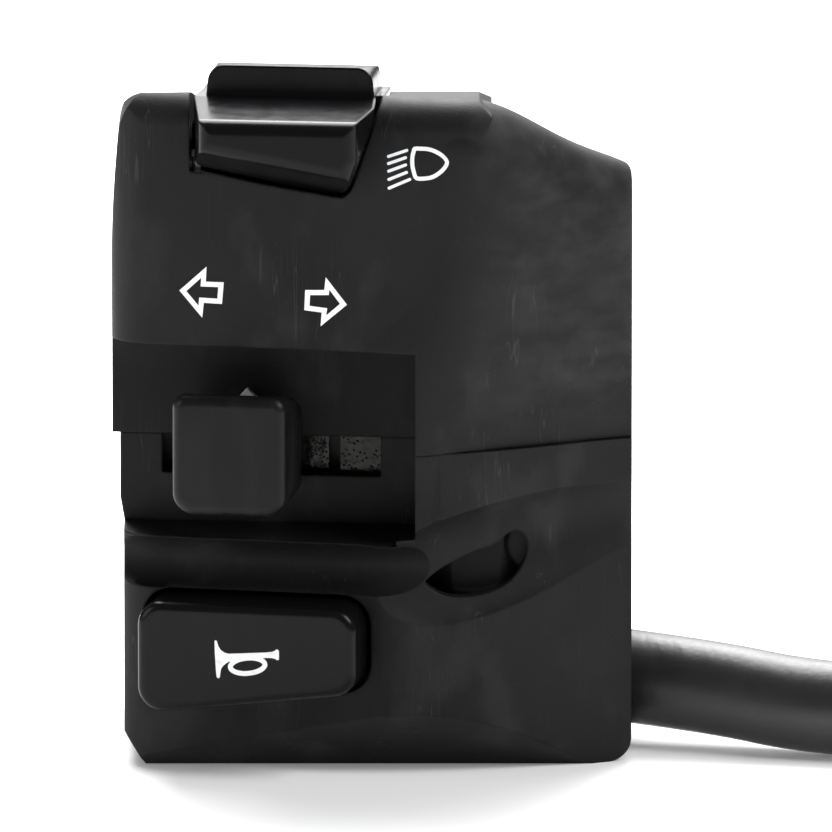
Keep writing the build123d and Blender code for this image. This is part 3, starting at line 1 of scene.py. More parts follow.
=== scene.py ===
# %% [markdown]
# # A left handlebar switch cluster
# Two moulded halves close round a handlebar. They carry a dimmer rocker on top, a sliding
# turn knob in a recess, a horn cap below it, and a sleeved harness that leaves at the right.
# The imported model gives every hard piece its place, so this script adds what a mould, a
# pad printer and a year on a shelf add: grain, scuffs, marks, dust, grease and the soft sleeve.
# It also paints a lighter sheen onto the housing's upper right flank, where it faces the key light.

import json
import math
import random

import bpy
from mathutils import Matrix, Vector


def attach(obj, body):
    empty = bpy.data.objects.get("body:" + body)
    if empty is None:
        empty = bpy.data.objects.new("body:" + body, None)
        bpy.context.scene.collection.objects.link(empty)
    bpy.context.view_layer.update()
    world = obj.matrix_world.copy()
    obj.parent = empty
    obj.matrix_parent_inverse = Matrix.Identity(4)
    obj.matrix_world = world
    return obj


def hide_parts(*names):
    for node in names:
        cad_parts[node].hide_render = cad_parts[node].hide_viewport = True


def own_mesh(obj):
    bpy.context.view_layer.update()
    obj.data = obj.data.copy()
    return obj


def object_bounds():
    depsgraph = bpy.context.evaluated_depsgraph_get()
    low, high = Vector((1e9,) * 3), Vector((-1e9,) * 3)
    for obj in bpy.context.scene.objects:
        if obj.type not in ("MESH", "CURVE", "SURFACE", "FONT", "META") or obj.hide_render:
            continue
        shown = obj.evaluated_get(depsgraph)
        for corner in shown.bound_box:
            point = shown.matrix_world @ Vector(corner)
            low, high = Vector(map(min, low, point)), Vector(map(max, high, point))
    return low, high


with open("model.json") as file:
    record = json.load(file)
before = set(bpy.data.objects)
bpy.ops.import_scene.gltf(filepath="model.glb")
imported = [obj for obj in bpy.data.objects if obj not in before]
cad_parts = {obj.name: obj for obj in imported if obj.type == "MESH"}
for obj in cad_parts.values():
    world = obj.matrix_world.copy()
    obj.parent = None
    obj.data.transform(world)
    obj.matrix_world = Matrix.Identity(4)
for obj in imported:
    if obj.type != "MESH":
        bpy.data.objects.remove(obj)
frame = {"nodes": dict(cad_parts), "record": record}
bounds_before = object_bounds()
nodes = frame["nodes"]
random.seed(7)
mm = 0.001
print("pieces in the frame:", len(nodes))

# %% [markdown]
# ## Camera
# A product photograph like this is taken from far off with a long lens, so that near and far
# edges keep their size. The camera looks a little down on the front of the housing. Its
# distance follows from the lens, so that the object fills the same part of the picture.

# %% Camera
picture_side = 832
pixels_per_mm = 9.8
origin_pixel = (372, 395)
camera_rise = math.radians(11)
lens_mm = 800
sensor_mm = 36
front_plane = -20 * mm


def at_plane(px, py, y):
    """The point in the plane at depth y that the picture shows at a pixel."""
    x = (px - origin_pixel[0]) / pixels_per_mm * mm
    up = (origin_pixel[1] - py) / pixels_per_mm * mm
    return Vector((x, y, (up - math.sin(camera_rise) * y) / math.cos(camera_rise)))


aim = at_plane(picture_side / 2, picture_side / 2, front_plane)
distance = picture_side / pixels_per_mm * mm * lens_mm / sensor_mm
camera_data = bpy.data.cameras.new("camera")
camera_data.lens = lens_mm
camera_data.sensor_width = sensor_mm
camera_data.clip_end = distance * 10
camera = bpy.data.objects.new("camera", camera_data)
camera.location = aim + distance * Vector((0, -math.cos(camera_rise), math.sin(camera_rise)))
camera.rotation_euler = (math.pi / 2 - camera_rise, 0, 0)
bpy.context.scene.collection.objects.link(camera)
bpy.context.scene.camera = camera
print("camera stands off", round(distance, 3), "m")

# %% [markdown]
# ## Harness sleeve
# The sleeve is soft vinyl over six leads. It leaves the housing low at the right, sinks to the
# surface and turns back behind, where its connector lies. A NURBS curve of order three bends
# smoothly through the same points that the solid tube follows, and a round bevel gives it body.

# %% Harness sleeve
sleeve_radius = 4.8 * mm
harness_route = [
    (19.0, -11.8, -26.1),
    (34.0, -15.6, -27.2),
    (45.0, -19.9, -28.75),
    (60.0, -23.2, -28.75),
    (82.0, -20.0, -28.75),
    (102.0, -9.5, -28.75),
    (115.5, 9.0, -28.75),
    (114.5, 32.0, -28.75),
    (101.0, 51.0, -28.75),
]


def soft_curve(name, points, radius):
    """A smooth round cord through a list of points in millimetres."""
    curve = bpy.data.curves.new(name, "CURVE")
    curve.dimensions = "3D"
    spline = curve.splines.new("NURBS")
    spline.points.add(len(points) - 1)
    for point, place in zip(spline.points, points):
        point.co = (*(Vector(place) * mm), 1)
    spline.order_u = 3
    spline.use_endpoint_u = True
    spline.resolution_u = 16
    curve.bevel_depth = radius
    curve.bevel_resolution = 7
    curve.use_fill_caps = True
    made = bpy.data.objects.new(name, curve)
    bpy.context.scene.collection.objects.link(made)
    return made


def line_points(made):
    """The points along a curve's own line."""
    bare = made.data.copy()
    bare.bevel_depth = 0
    holder = bpy.data.objects.new("holder", bare)
    mesh = bpy.data.meshes.new_from_object(holder)
    points = [v.co.copy() for v in mesh.vertices]
    bpy.data.objects.remove(holder)
    bpy.data.meshes.remove(mesh)
    return points


sleeve = soft_curve("sleeve", harness_route, sleeve_radius)
sleeve_line = line_points(sleeve)

# %% [markdown]
# ## Six leads at the sleeve's end
# The sleeve stops short of the connector, so the six leads in it show for a thumb's width.
# Each is a thin curve from the sleeve's end face to its hole in the connector, with its own
# colour of insulation.

# %% Six leads
tail_length = 17.0
lead_radius = 0.9 * mm
terminal_reach = 6.0
rows = (-1.55, 1.55)
columns = (-4.067, 0.0, 4.067)
connector_rise = -0.35
bundle_share = 1.067
bundle_width_share = 0.48

heading = (Vector(harness_route[-1]) - Vector(harness_route[-2])).normalized()
up = Vector((0, 0, 1))
across = up.cross(heading) * -1
sleeve_end = Vector(harness_route[-1])
leads = []
for row in rows:
    for column in columns:
        inside = sleeve_end + up * row * bundle_share + across * column * bundle_width_share
        outside = sleeve_end + heading * tail_length + up * (row + connector_rise) + across * column
        places = [
            inside,
            inside + heading * tail_length / 4,
            outside - heading * tail_length / 4,
            outside + heading * terminal_reach,
        ]
        leads.append(soft_curve(f"tail_lead_{len(leads) + 1}", places, lead_radius))
print("tail leads:", len(leads))

# %% [markdown]
# ## Floor and light
# A pale floor and large soft lights are all that a studio picture of a black object needs:
# black plastic is drawn by what it reflects, so the lights are wide panels. One stands high
# at the right, one lower at the left, and the strongest hangs over the floor behind, so the
# floor turns white there while the front faces mirror its darker part. A panel far behind
# brightens what leans back, such as the top of the rocker. The picture is shown
# without a film curve, so that white paper stays white and black plastic black.

# %% Floor and light
floor_drop = bounds_before[0][2]
floor_mesh = bpy.data.meshes.new("floor")
reach = 3.0
around = ((-reach, -reach), (reach, -reach), (reach, reach), (-reach, reach))
floor_mesh.from_pydata([(x, y, floor_drop) for x, y in around], [], [(0, 1, 2, 3)])
floor = bpy.data.objects.new("floor", floor_mesh)
bpy.context.scene.collection.objects.link(floor)


def soft_light(name, place, size, power):
    """A square lamp that faces the object."""
    lamp = bpy.data.lights.new(name, "AREA")
    lamp.shape = "SQUARE"
    lamp.size = size
    lamp.energy = power
    made = bpy.data.objects.new(name, lamp)
    made.location = place
    made.rotation_euler = (Vector(place) - Vector((0, 0, 0))).to_track_quat("Z", "Y").to_euler()
    bpy.context.scene.collection.objects.link(made)
    return made


soft_light("key", (0.6, -0.3, 0.6), 0.4, 6)
soft_light("fill", (-0.8, -0.3, 0.3), 0.5, 2.5)
soft_light("overhead", (0.0, 0.4, 0.6), 0.6, 15)
soft_light("backdrop", (0.1, 1.1, 0.6), 1.0, 9)
world = bpy.data.worlds.new("studio")
world.use_nodes = True
world.node_tree.nodes["Background"].inputs["Color"].default_value = (1.0, 1.0, 1.0, 1)
world.node_tree.nodes["Background"].inputs["Strength"].default_value = 0.16
bpy.context.scene.world = world
bpy.context.scene.view_settings.view_transform = "Standard"
print("lights:", len(bpy.data.lights))

# %% [markdown]
# ## Shader maths
# A finish is a sum of small patterns. Written as plain Python, `1 - dust * 0.5` reads better
# than a web of nodes, so a small class wraps a socket and each operator adds its Math node.
# Colours are mixed by a Mix node, because a Math node would turn them grey.


# %% Shader maths
class Wave:
    """A value that changes over a surface."""

    def __init__(self, finish, socket):
        self.finish = finish
        self.socket = socket

    def math(self, operation, *values):
        node = self.finish.node("ShaderNodeMath", {"operation": operation}, dict(enumerate(values)))
        return Wave(self.finish, node.outputs[0])

    def __add__(self, other):
        return self.math("ADD", self, other)

    def __sub__(self, other):
        return self.math("SUBTRACT", self, other)

    def __rsub__(self, other):
        return self.math("SUBTRACT", other, self)

    def __mul__(self, other):
        return self.math("MULTIPLY", self, other)

    __radd__ = __add__
    __rmul__ = __mul__

    def step(self, low, high):
        """Zero under low, one over high, and smooth between."""
        settings = {"interpolation_type": "SMOOTHSTEP"}
        inputs = {"Value": self, "From Min": low, "From Max": high}
        return Wave(self.finish, self.finish.node("ShaderNodeMapRange", settings, inputs).outputs[0])


class Finish:
    """A material under construction."""

    def __init__(self, name, roughness=0.5, metallic=0.0):
        self.material = bpy.data.materials.new(name)
        self.material.use_nodes = True
        self.tree = self.material.node_tree
        self.shader = self.tree.nodes["Principled BSDF"]
        self.set("Roughness", roughness)
        self.set("Metallic", metallic)

    def node(self, kind, settings=None, inputs=None):
        made = self.tree.nodes.new(kind)
        for key, value in (settings or {}).items():
            setattr(made, key, value)
        for key, value in (inputs or {}).items():
            self.feed(made.inputs[key], value)
        return made

    def feed(self, socket, value):
        if isinstance(value, Wave):
            self.tree.links.new(value.socket, socket)
        elif isinstance(value, bpy.types.NodeSocket):
            self.tree.links.new(value, socket)
        else:
            socket.default_value = value

    def set(self, name, value):
        self.feed(self.shader.inputs[name], value)

    def place(self, stretch=(1, 1, 1), turn=(0, 0, 0)):
        """Places on the piece, in millimetres, stretched and turned."""
        where = self.node("ShaderNodeTexCoord").outputs["Object"]
        scale = tuple(1000 * s for s in stretch)
        mapping = self.node("ShaderNodeMapping", {}, {"Vector": where, "Scale": scale, "Rotation": turn})
        return mapping.outputs[0]

    def noise(self, per_mm, detail=2.0, stretch=(1, 1, 1), turn=(0, 0, 0), rough=0.5):
        inputs = {
            "Vector": self.place(stretch, turn),
            "Scale": per_mm,
            "Detail": detail,
            "Roughness": rough,
        }
        return Wave(self, self.node("ShaderNodeTexNoise", {}, inputs).outputs["Fac"])

    def cells(self, per_mm, feature="F1", jitter=1.0):
        inputs = {"Vector": self.place(), "Scale": per_mm, "Randomness": jitter}
        node = self.node("ShaderNodeTexVoronoi", {"feature": feature}, inputs)
        return Wave(self, node.outputs["Distance"])

    def along(self, axis):
        """How far along an axis a place lies, in millimetres."""
        return Wave(self, self.node("ShaderNodeSeparateXYZ", {}, {0: self.place()}).outputs[axis])

    def mix(self, factor, low, high):
        """A colour between two colours."""
        node = self.node("ShaderNodeMix", {"data_type": "RGBA"}, {0: factor})
        for key, value in ((6, low), (7, high)):
            self.feed(node.inputs[key], value if not isinstance(value, tuple) else (*value, 1))
        return node.outputs[2]

    def relief(self, height, depth_mm, strength=1.0, round_mm=0.0):
        """Feeds a height, in shares of a depth, to the surface, over softly rounded edges."""
        inputs = {"Height": height, "Strength": strength, "Distance": depth_mm * mm}
        if round_mm:
            rounded = self.node("ShaderNodeBevel", {"samples": 6}, {"Radius": round_mm * mm})
            inputs["Normal"] = rounded.outputs[0]
        self.set("Normal", self.node("ShaderNodeBump", {}, inputs).outputs[0])


print("shader helpers ready")

# %% [markdown]
# ## Housing plastic
# The halves are moulded in a glass-filled nylon with a fine sparked texture. It is nearly black,
# goes greyer where a hand or a box has rubbed it, carries pale dust in its grain, and shows
# hairline scratches. The flank at the upper right is painted lighter where it faces the key light:
# a painted sheen, broken up by scuffs. Edges of a moulding are never sharp, so the normals are
# rounded a little.


# %% Housing plastic
def hairlines(finish, per_mm, turn, width):
    """Thin straight scratches: a band of a much stretched noise, broken up by a broad one."""
    streaks = finish.noise(per_mm, 1.0, (1, 1, 0.03), turn)
    band = 1 - (streaks - 0.5).math("ABSOLUTE", streaks - 0.5).step(0.0, width)
    here = finish.noise(0.09, 2.0, (1, 1, 1), turn).step(0.56, 0.66)
    return band * here


def housing_finish():
    finish = Finish("housing_plastic")
    grain = finish.noise(7.0, 3.0)
    clouds = finish.noise(0.06, 3.0).step(0.35, 0.7)
    rubbed = finish.noise(0.16, 5.0, (1, 1, 0.6), (0.2, 0.5, 0.3)).step(0.5, 0.72)
    dust = 1 - finish.cells(1.35).step(0.025, 0.07)
    dust = dust * finish.noise(0.4, 2.0).step(0.5, 0.62)
    lines = hairlines(finish, 0.9, (0.4, 0.9, 0.2), 0.008) + hairlines(finish, 0.7, (1.3, -0.6, 0.8), 0.007)
    base = finish.mix(clouds, (0.0062, 0.0062, 0.0066), (0.0098, 0.0098, 0.0103))
    # The upper right flank is painted lighter: a painted sheen where it faces the key light, broken up by
    # scuffs and mixed with the rubbed wear.
    flank = finish.along(0).step(7.0, 18.0) * finish.along(2).step(-0.5, 6.0)
    flank_scuffs_and_sheen = flank * finish.noise(0.3, 5.0, (0.5, 1, 1.4), (0.1, 0.7, 0.2)).step(0.3, 0.75)
    wear_and_sheen = finish.mix(rubbed * 0.5 + flank_scuffs_and_sheen * 0.5, base, (0.03, 0.03, 0.0305))
    scratched = finish.mix(lines * 0.3, wear_and_sheen, (0.07, 0.07, 0.07))
    finish.set("Base Color", finish.mix(dust * 0.5, scratched, (0.15, 0.15, 0.15)))
    finish.set("Roughness", 0.48 + rubbed * 0.1 + grain * 0.12 + dust * 0.2)
    finish.set("Specular IOR Level", 0.16)
    finish.relief(grain - lines * 0.5, 0.05, 0.6, 0.4)
    return finish.material


housing_plastic = housing_finish()

# %% [markdown]
# ## Glossy, satin and white mouldings
# The rocker and the horn cap are polished in the tool, so they mirror the lights with only a
# few fine wipe marks. The turn knob is a shade duller. The lever behind it is natural white nylon.


# %% Glossy, satin and white mouldings
def gloss_finish():
    finish = Finish("gloss_black")
    wipe = finish.noise(0.8, 3.0, (1, 1, 0.25), (0.3, 0.2, 1.1))
    dust = 1 - finish.cells(0.62).step(0.02, 0.045)
    dust = dust * finish.noise(0.3, 2.0).step(0.5, 0.6)
    finish.set("Base Color", finish.mix(dust * 0.4, (0.0035, 0.0035, 0.004), (0.16, 0.16, 0.16)))
    finish.set("Roughness", 0.14 + wipe * 0.14 + dust * 0.3)
    finish.set("Specular IOR Level", 0.14)
    finish.relief(finish.noise(0.35, 2.0), 0.03, 0.25, 0.4)
    return finish.material


def satin_finish():
    finish = Finish("satin_black")
    grain = finish.noise(7.0, 2.0)
    smear = finish.noise(0.35, 3.0, (1, 1, 0.3)).step(0.4, 0.7)
    finish.set("Base Color", finish.mix(smear * 0.6, (0.005, 0.005, 0.0054), (0.012, 0.012, 0.0125)))
    finish.set("Roughness", 0.3 + smear * 0.12 + grain * 0.08)
    finish.set("Specular IOR Level", 0.16)
    finish.relief(grain, 0.02, 0.3, 0.4)
    return finish.material


def nylon_finish(name, low, high):
    finish = Finish(name)
    cloud = finish.noise(0.5, 3.0)
    finish.set("Base Color", finish.mix(cloud, low, high))
    finish.set("Roughness", 0.36 + cloud * 0.14)
    finish.set("Subsurface Weight", 0.08)
    finish.set("Subsurface Radius", (0.001, 0.001, 0.0008))
    finish.relief(finish.noise(6.0, 2.0), 0.015, 0.3, 0.15)
    return finish.material


gloss_black = gloss_finish()
satin_black = satin_finish()
white_nylon = nylon_finish("white_nylon", (0.62, 0.61, 0.57), (0.78, 0.77, 0.73))
connector_nylon = nylon_finish("connector_nylon", (0.6, 0.585, 0.53), (0.74, 0.725, 0.67))
print("plastics:", len(bpy.data.materials))

# %% [markdown]
# ## Metals, board, rubber and vinyl
# The switch works of such a cluster are plain: zinc-plated screws, a pressed steel plate full
# of grease, brass contacts on dark pressed board. The grommet is dull rubber, and the sleeve is
# soft vinyl with a slight sheen and faint wrinkles round it.


# %% Metals, board, rubber and vinyl
def metal_finish(name, low, high, roughness, stretch=(1, 1, 1)):
    finish = Finish(name, metallic=1.0)
    brush = finish.noise(5.0, 3.0, stretch)
    finish.set("Base Color", finish.mix(brush, low, high))
    finish.set("Roughness", roughness + brush * 0.2)
    finish.relief(brush, 0.01, 0.4, 0.08)
    return finish.material


def greased_finish():
    finish = Finish("greased_steel", metallic=1.0)
    smear = finish.noise(0.7, 2.0).step(0.35, 0.7)
    beads = 1 - finish.cells(2.6).step(0.08, 0.3)
    finish.set("Base Color", finish.mix(smear, (0.02, 0.02, 0.0195), (0.007, 0.0068, 0.006)))
    finish.set("Metallic", 1 - smear * 0.4)
    finish.set("Roughness", 0.3 - smear * 0.12)
    finish.relief(beads + smear * 0.2, 0.2, 0.9, 0.1)
    return finish.material


def board_finish():
    finish = Finish("pressed_board")
    fibre = finish.noise(2.5, 4.0, (1, 1, 0.3))
    finish.set("Base Color", finish.mix(fibre, (0.016, 0.013, 0.011), (0.034, 0.026, 0.02)))
    finish.set("Roughness", 0.45 + fibre * 0.2)
    finish.relief(fibre, 0.02, 0.4)
    return finish.material


def rubber_finish():
    finish = Finish("grommet_rubber")
    bloom = finish.noise(0.7, 3.0)
    finish.set("Base Color", finish.mix(bloom, (0.01, 0.01, 0.01), (0.024, 0.024, 0.024)))
    finish.set("Roughness", 0.65 + bloom * 0.2)
    finish.relief(finish.noise(4.0, 3.0), 0.04, 0.4, 0.2)
    return finish.material


def sleeve_finish():
    finish = Finish("sleeve_vinyl")
    wrinkle = finish.noise(0.22, 2.0, (1.6, 1, 0.6))
    fine = finish.noise(2.2, 2.0)
    dust = 1 - finish.cells(0.8).step(0.02, 0.06)
    finish.set("Base Color", finish.mix(dust * 0.3, (0.0055, 0.0055, 0.006), (0.12, 0.12, 0.12)))
    finish.set("Roughness", 0.3 + fine * 0.14 + wrinkle * 0.08)
    finish.set("Sheen Weight", 0.1)
    finish.relief(wrinkle + fine * 0.12, 0.3, 0.5)
    return finish.material


def insulation_finish(name, color):
    finish = Finish(name)
    soil = finish.noise(0.9, 3.0).step(0.4, 0.75)
    darker = tuple(c * 0.6 for c in color)
    finish.set("Base Color", finish.mix(soil, color, darker))
    finish.set("Roughness", 0.34 + soil * 0.2)
    finish.relief(finish.noise(3.0, 2.0), 0.02, 0.3)
    return finish.material


zinc_steel = metal_finish("zinc_steel", (0.5, 0.5, 0.49), (0.68, 0.68, 0.66), 0.28)
spring_steel = metal_finish("spring_steel", (0.33, 0.33, 0.34), (0.48, 0.48, 0.49), 0.22)
brass = metal_finish("brass", (0.56, 0.39, 0.16), (0.78, 0.58, 0.27), 0.24)
greased_steel = greased_finish()
pressed_board = board_finish()
grommet_rubber = rubber_finish()
sleeve_vinyl = sleeve_finish()
lead_colors = {
    "lead_blue": (0.02, 0.06, 0.3),
    "lead_green": (0.02, 0.17, 0.05),
    "lead_brown": (0.11, 0.045, 0.02),
    "lead_yellow": (0.6, 0.44, 0.03),
    "lead_black": (0.012, 0.012, 0.012),
    "lead_grey": (0.2, 0.2, 0.2),
}
insulation = [insulation_finish(name, color) for name, color in lead_colors.items()]
print("finishes:", len(bpy.data.materials))

# %% [markdown]
# ## Every node gets its finish
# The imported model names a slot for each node. A table from slot to finish dresses them all, so
# no node keeps a flat colour.

# %% Dress the nodes
by_slot = {
    "housing_plastic": housing_plastic,
    "gloss_black": gloss_black,
    "satin_black": satin_black,
    "white_nylon": white_nylon,
    "zinc_steel": zinc_steel,
    "spring_steel": spring_steel,
    "greased_steel": greased_steel,
    "brass": brass,
    "board": pressed_board,
    "grommet_rubber": grommet_rubber,
    "sleeve_vinyl": sleeve_vinyl,
    "lead_insulation": insulation[0],
    "connector_nylon": connector_nylon,
}
slot_of = {s["node"]: s["material_slot"] for s in frame["record"]["subparts"]}


def dress(made, material):
    made.data.materials.clear()
    made.data.materials.append(material)


for name, node in nodes.items():
    dress(node, by_slot[slot_of[name]])
dress(sleeve, sleeve_vinyl)
for lead, material in zip(leads, insulation):
    dress(lead, material)
print("dressed", len(nodes), "nodes")

# %% [markdown]
# ## Sleeve and leads take their places
# The sleeve stands for the plain tube in the model, and the leads for theirs. The housing
# carries them, because the grommet holds the sleeve fast.

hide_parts("harness_sleeve")
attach(sleeve, "housing")
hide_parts("tail_leads")
for lead in leads:
    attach(lead, "housing")

# %% [markdown]
# ## Two wound springs
# The horn cap and the turn knob each press on a coil spring. A rigid coil would come through
# the cap. Each gets a wound piece of round wire here at the full length of the imported coil,
# and it does not flatten as its joint moves. Its length, radius and the centre of its axis are
# measured on the imported coil that it stands for, along an axis given for each.

# %% Wound springs
spring_steps = 24
wire_sides = 8


def wound_spring(name, node, axis, wire, turns):
    """A coil of round wire about the axis of a packed coil, and the seat end of that axis."""
    axis = Vector(axis)
    side = axis.cross(Vector((0, 0, 1))).normalized()
    other = axis.cross(side)
    points = [node.matrix_world @ v.co for v in node.data.vertices]
    spans = []
    for way in (side, other, axis):
        reaches = [point.dot(way) for point in points]
        spans.append((min(reaches), max(reaches)))
    (left, right), (front, back), (low, high) = spans
    centre = side * (left + right) / 2 + other * (front + back) / 2
    radius = (right - left - wire) / 2
    rise = (high - low - wire) / turns
    rings, faces = [], []
    for i in range(turns * spring_steps + 1):
        turn = math.tau * i / spring_steps
        out = side * math.cos(turn) + other * math.sin(turn)
        way = (axis.cross(out) * radius * math.tau + axis * rise).normalized()
        place = centre + out * radius + axis * (low + wire / 2 + rise * i / spring_steps)
        up = way.cross(out)
        for k in range(wire_sides):
            angle = math.tau * k / wire_sides
            rings.append(place + (out * math.cos(angle) + up * math.sin(angle)) * wire / 2)
    count = turns * spring_steps
    for i in range(count):
        for k in range(wire_sides):
            a, b = i * wire_sides + k, i * wire_sides + (k + 1) % wire_sides
            faces.append((a, b, b + wire_sides, a + wire_sides))
    faces.append(tuple(range(wire_sides))[::-1])
    faces.append(tuple(count * wire_sides + k for k in range(wire_sides)))
    mesh = bpy.data.meshes.new(name)
    mesh.from_pydata(rings, [], faces)
    mesh.validate()
    for polygon in mesh.polygons:
        polygon.use_smooth = len(polygon.vertices) == 4
    made = bpy.data.objects.new(name, mesh)
    bpy.context.scene.collection.objects.link(made)
    print(name, "is", round((high - low) / mm, 2), "mm long")
    return made, centre + axis * high, high - low


press_axis = (0.207912, 0.978148, 0)
cancel_axis = (0.104528, 0.994522, 0)
springs = [
    ("horn_coil", "horn_spring", "horn_press", press_axis, 0.55 * mm, 4, 2.5 * mm, "housing"),
    ("cancel_coil", "cancel_spring", "cancel_push", cancel_axis, 0.4 * mm, 3, 1.8 * mm, "carriage"),
]
for name, node, joint, axis, wire, turns, travel, body in springs:
    coil, seat, length = wound_spring(name, nodes[node], axis, wire, turns)
    dress(coil, spring_steel)
    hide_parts(node)
    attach(coil, body)
    1 - travel / length
    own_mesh(coil)

# %% [markdown]
# ## Printed symbols
# The white marks are pad printed: a thin layer of ink that follows the face. Each is a ribbon
# of a steady width along a few points, with a little thickness, laid on the plane of its face.
# The points are places in the picture, carried back onto that plane.

# %% Ribbons of ink
panel_lean = math.radians(12)
ridge_place = (7 * mm, -32 * mm)
ink_proud = 0.03 * mm
ink_sunk = 0.05 * mm


def on_panel(px, py, out=0.0):
    """The point on the front panel, or on a face a distance before it, that a pixel shows."""
    x = (px - origin_pixel[0]) / pixels_per_mm * mm
    y = ridge_place[1] + (ridge_place[0] - x) * math.tan(panel_lean) - out / math.cos(panel_lean)
    return at_plane(px, py, y)


panel_out = Vector((-math.sin(panel_lean), -math.cos(panel_lean), 0))


def outline_mesh(name, rings, faces, normal):
    """A thin solid from flat rings of points, each face a list of indices."""
    mesh = bpy.data.meshes.new(name)
    count = len(rings)
    points = [p + normal * ink_proud for p in rings] + [p - normal * ink_sunk for p in rings]
    under = [[i + count for i in reversed(face)] for face in faces]
    edges = {}
    for face in faces:
        for a, b in zip(face, face[1:] + face[:1]):
            edges[(a, b)] = True
    walls = [(b, a, a + count, b + count) for a, b in edges if (b, a) not in edges]
    mesh.from_pydata(points, [], [*faces, *under, *walls])
    mesh.validate()
    made = bpy.data.objects.new(name, mesh)
    bpy.context.scene.collection.objects.link(made)
    return made


def ribbon(name, line, width, normal, closed):
    """A band of a steady width along a line, mitred at its corners and round at its free ends."""
    count = len(line)
    left, right = [], []
    for i, point in enumerate(line):
        before = line[i - 1] if closed or i else None
        after = line[(i + 1) % count] if closed or i < count - 1 else None
        pairs = ((before, point), (point, after))
        ways = [(b - a).normalized() for a, b in pairs if a is not None and b is not None]
        sides = [normal.cross(way) for way in ways]
        middle = sum(sides, Vector()).normalized()
        spread = width / 2 / max(middle.dot(sides[0]), 0.4)
        left.append(point + middle * spread)
        right.append(point - middle * spread)
    points = left + right
    last = count if closed else count - 1
    faces = []
    for i in range(last):
        j = (i + 1) % count
        faces.append([i, i + count, j + count, j])
    if not closed:
        for end, inner in ((0, 1), (count - 1, count - 2)):
            way = (line[end] - line[inner]).normalized()
            side = left[end] - line[end]
            arc = [len(points) + k for k in range(5)]
            for k in range(1, 6):
                turn = math.pi * k / 6
                points.append(line[end] + side * math.cos(turn) + way * width / 2 * math.sin(turn))
            face = [end, *arc, end + count]
            faces.append(face if end else face[::-1])
    return outline_mesh(name, points, faces, normal)


def press_on(mark, node, normal):
    """Lays a mark on a node's real surface, which swells a little before its drawn plane."""
    mesh = mark.data
    count = len(mesh.vertices) // 2
    reach = 3 * mm
    for i in range(count):
        middle = mesh.vertices[i].co - normal * ink_proud
        start = node.matrix_world.inverted() @ (middle + normal * reach)
        hit, place, _, _ = node.ray_cast(start, -normal)
        if hit:
            place = node.matrix_world @ place
            mesh.vertices[i].co = place + normal * ink_proud
            mesh.vertices[i + count].co = place - normal * ink_sunk


def bend(corners, steps):
    """A smooth closed line through corner points."""
    count = len(corners)
    line = []
    for i in range(count):
        a, b, c, d = (corners[(i + k) % count] for k in (-1, 0, 1, 2))
        for s in range(steps):
            t = s / steps
            line.append(
                0.5
                * (
                    2 * b
                    + (c - a) * t
                    + (2 * a - 5 * b + 4 * c - d) * t * t
                    + (3 * b - a - 3 * c + d) * t**3
                )
            )
    return line


ink_width = 0.52 * mm
left_arrow_pixels = [
    (184.0, 291.3),
    (205.0, 272.9),
    (204.3, 284.7),
    (222.1, 285.4),
    (220.7, 301.9),
    (202.6, 300.7),
    (201.4, 312.1),
]
right_arrow_pixels = [
    (344.0, 305.0),
    (328.1, 284.3),
    (327.1, 293.3),
    (308.3, 293.3),
    (307.6, 308.6),
    (325.0, 311.0),
    (324.0, 321.4),
]
lamp_pixels = [
    (415.1, 151.1),
    (420.9, 151.1),
    (428.0, 151.6),
    (435.1, 153.9),
    (442.3, 158.2),
    (446.9, 163.9),
    (444.8, 169.6),
    (439.4, 175.0),
    (433.0, 178.9),
    (426.6, 180.4),
    (416.9, 180.4),
    (414.1, 175.0),
    (412.4, 167.1),
    (412.4, 160.0),
    (413.6, 154.3),
]
beam_pixels = [
    ((388.7, 158.7), (406.9, 152.7)),
    ((388.7, 165.7), (405.7, 159.9)),
    ((388.9, 173.2), (405.7, 167.1)),
    ((389.1, 181.4), (406.6, 174.5)),
    ((389.3, 190.0), (409.8, 181.4)),
]


def ink_finish():
    finish = Finish("white_ink")
    wear = finish.noise(1.2, 3.0).step(0.58, 0.8)
    finish.set("Base Color", finish.mix(wear * 0.35, (0.92, 0.92, 0.94), (0.6, 0.6, 0.61)))
    finish.set("Roughness", 0.4 + wear * 0.2)
    finish.relief(finish.noise(6.0, 2.0), 0.01, 0.3)
    return finish.material


white_ink = ink_finish()
marks = []
for name, pixels in (("left_arrow", left_arrow_pixels), ("right_arrow", right_arrow_pixels)):
    line = [on_panel(*p) for p in pixels]
    marks.append(ribbon(name, line, ink_width, panel_out, True))
lamp_width = 0.42 * mm
beam_width = 0.31 * mm
lamp_line = bend([on_panel(*p) for p in lamp_pixels], 3)
marks.append(ribbon("lamp_outline", lamp_line, lamp_width, panel_out, True))
for i, pair in enumerate(beam_pixels):
    line = [on_panel(*p) for p in pair]
    marks.append(ribbon(f"lamp_beam_{i + 1}", line, beam_width, panel_out, False))
for mark in marks:
    press_on(mark, nodes["upper_shell"], panel_out)
    dress(mark, white_ink)
    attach(mark, "housing")
print("marks on the panel:", len(marks))

# %% [markdown]
# The horn mark is a post horn: a filled body that flares at both ends, and a ring under it.
# It is printed on the cap's face, so it travels with the cap.

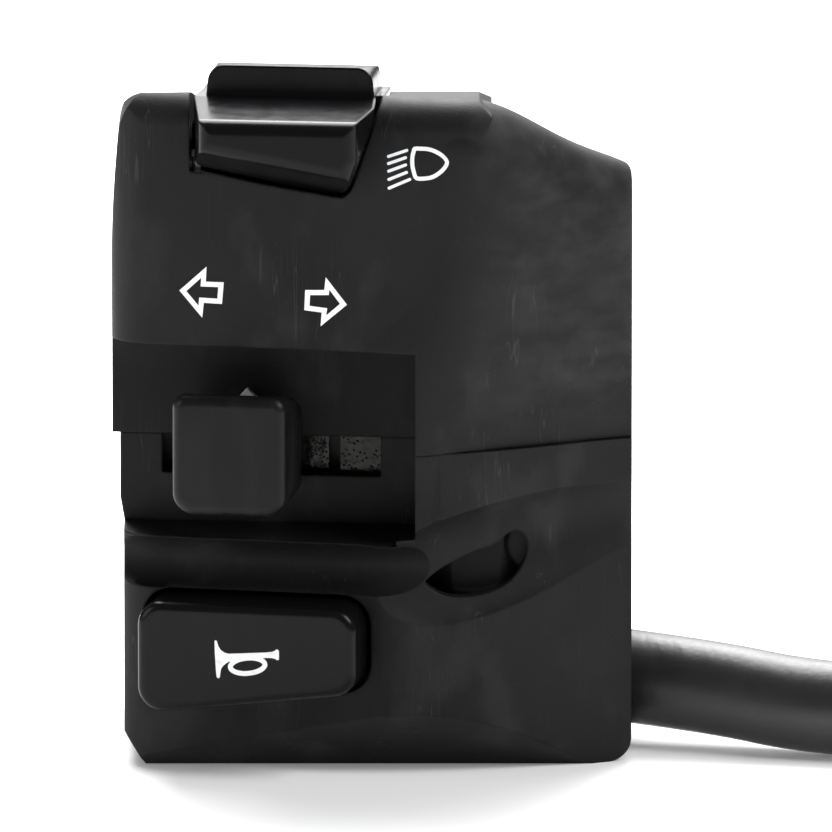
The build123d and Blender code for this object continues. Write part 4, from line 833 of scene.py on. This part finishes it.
# %% Horn mark
cap_proud = 5.1 * mm
horn_body_pixels = [
    (215.4, 640.0),
    (216.8, 639.3),
    (217.9, 640.4),
    (218.9, 644.3),
    (221.4, 648.9),
    (225.0, 651.4),
    (229.3, 652.7),
    (265.7, 651.4),
    (272.9, 650.7),
    (275.4, 649.6),
    (277.9, 648.0),
    (279.6, 650.0),
    (279.6, 658.6),
    (278.2, 658.9),
    (275.4, 657.5),
    (272.1, 656.8),
    (265.7, 656.8),
    (229.3, 660.7),
    (224.3, 664.3),
    (221.8, 667.9),
    (221.1, 672.9),
    (220.6, 676.4),
    (218.9, 677.3),
    (217.5, 675.7),
    (216.8, 670.0),
    (215.7, 651.4),
]
ring_centre = (248.4, 664.6)
ring_radii = (17.3, 7.6)
ring_tilt = math.radians(-5)
ring_steps = 40


def ring_pixels():
    """Points round the ring of the horn, a tilted oval in the picture."""
    points = []
    for i in range(ring_steps):
        turn = math.tau * i / ring_steps
        a, b = ring_radii[0] * math.cos(turn), ring_radii[1] * math.sin(turn)
        x = ring_centre[0] + a * math.cos(ring_tilt) - b * math.sin(ring_tilt)
        points.append((x, ring_centre[1] + a * math.sin(ring_tilt) + b * math.cos(ring_tilt)))
    return points


ring_width = 0.5 * mm
body_line = [on_panel(*p, cap_proud) for p in horn_body_pixels]
horn_body = outline_mesh("horn_mark_body", body_line, [list(range(len(body_line)))[::-1]], panel_out)
ring_line = [on_panel(*p, cap_proud - 0.01 * mm) for p in ring_pixels()]
horn_ring = ribbon("horn_mark_ring", ring_line, ring_width, panel_out, True)
for mark in (horn_body, horn_ring):
    dress(mark, white_ink)
    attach(mark, "horn")
print("horn mark printed on the cap")

# %% [markdown]
# ## Floor finish
# The floor is a white table lit from under itself, as in a light tent, so it stays paler than
# any of its shadows and shows no edge.

# %% Floor finish
def floor_finish():
    finish = Finish("pale_floor", roughness=0.6)
    cloud = finish.noise(0.004, 2.0)
    finish.set("Base Color", finish.mix(cloud, (0.88, 0.88, 0.88), (0.92, 0.92, 0.92)))
    finish.set("Emission Color", finish.mix(cloud, (0.97, 0.97, 0.97), (1.0, 1.0, 1.0)))
    finish.set("Emission Strength", 0.12)
    return finish.material


dress(floor, floor_finish())
print("floor dressed")
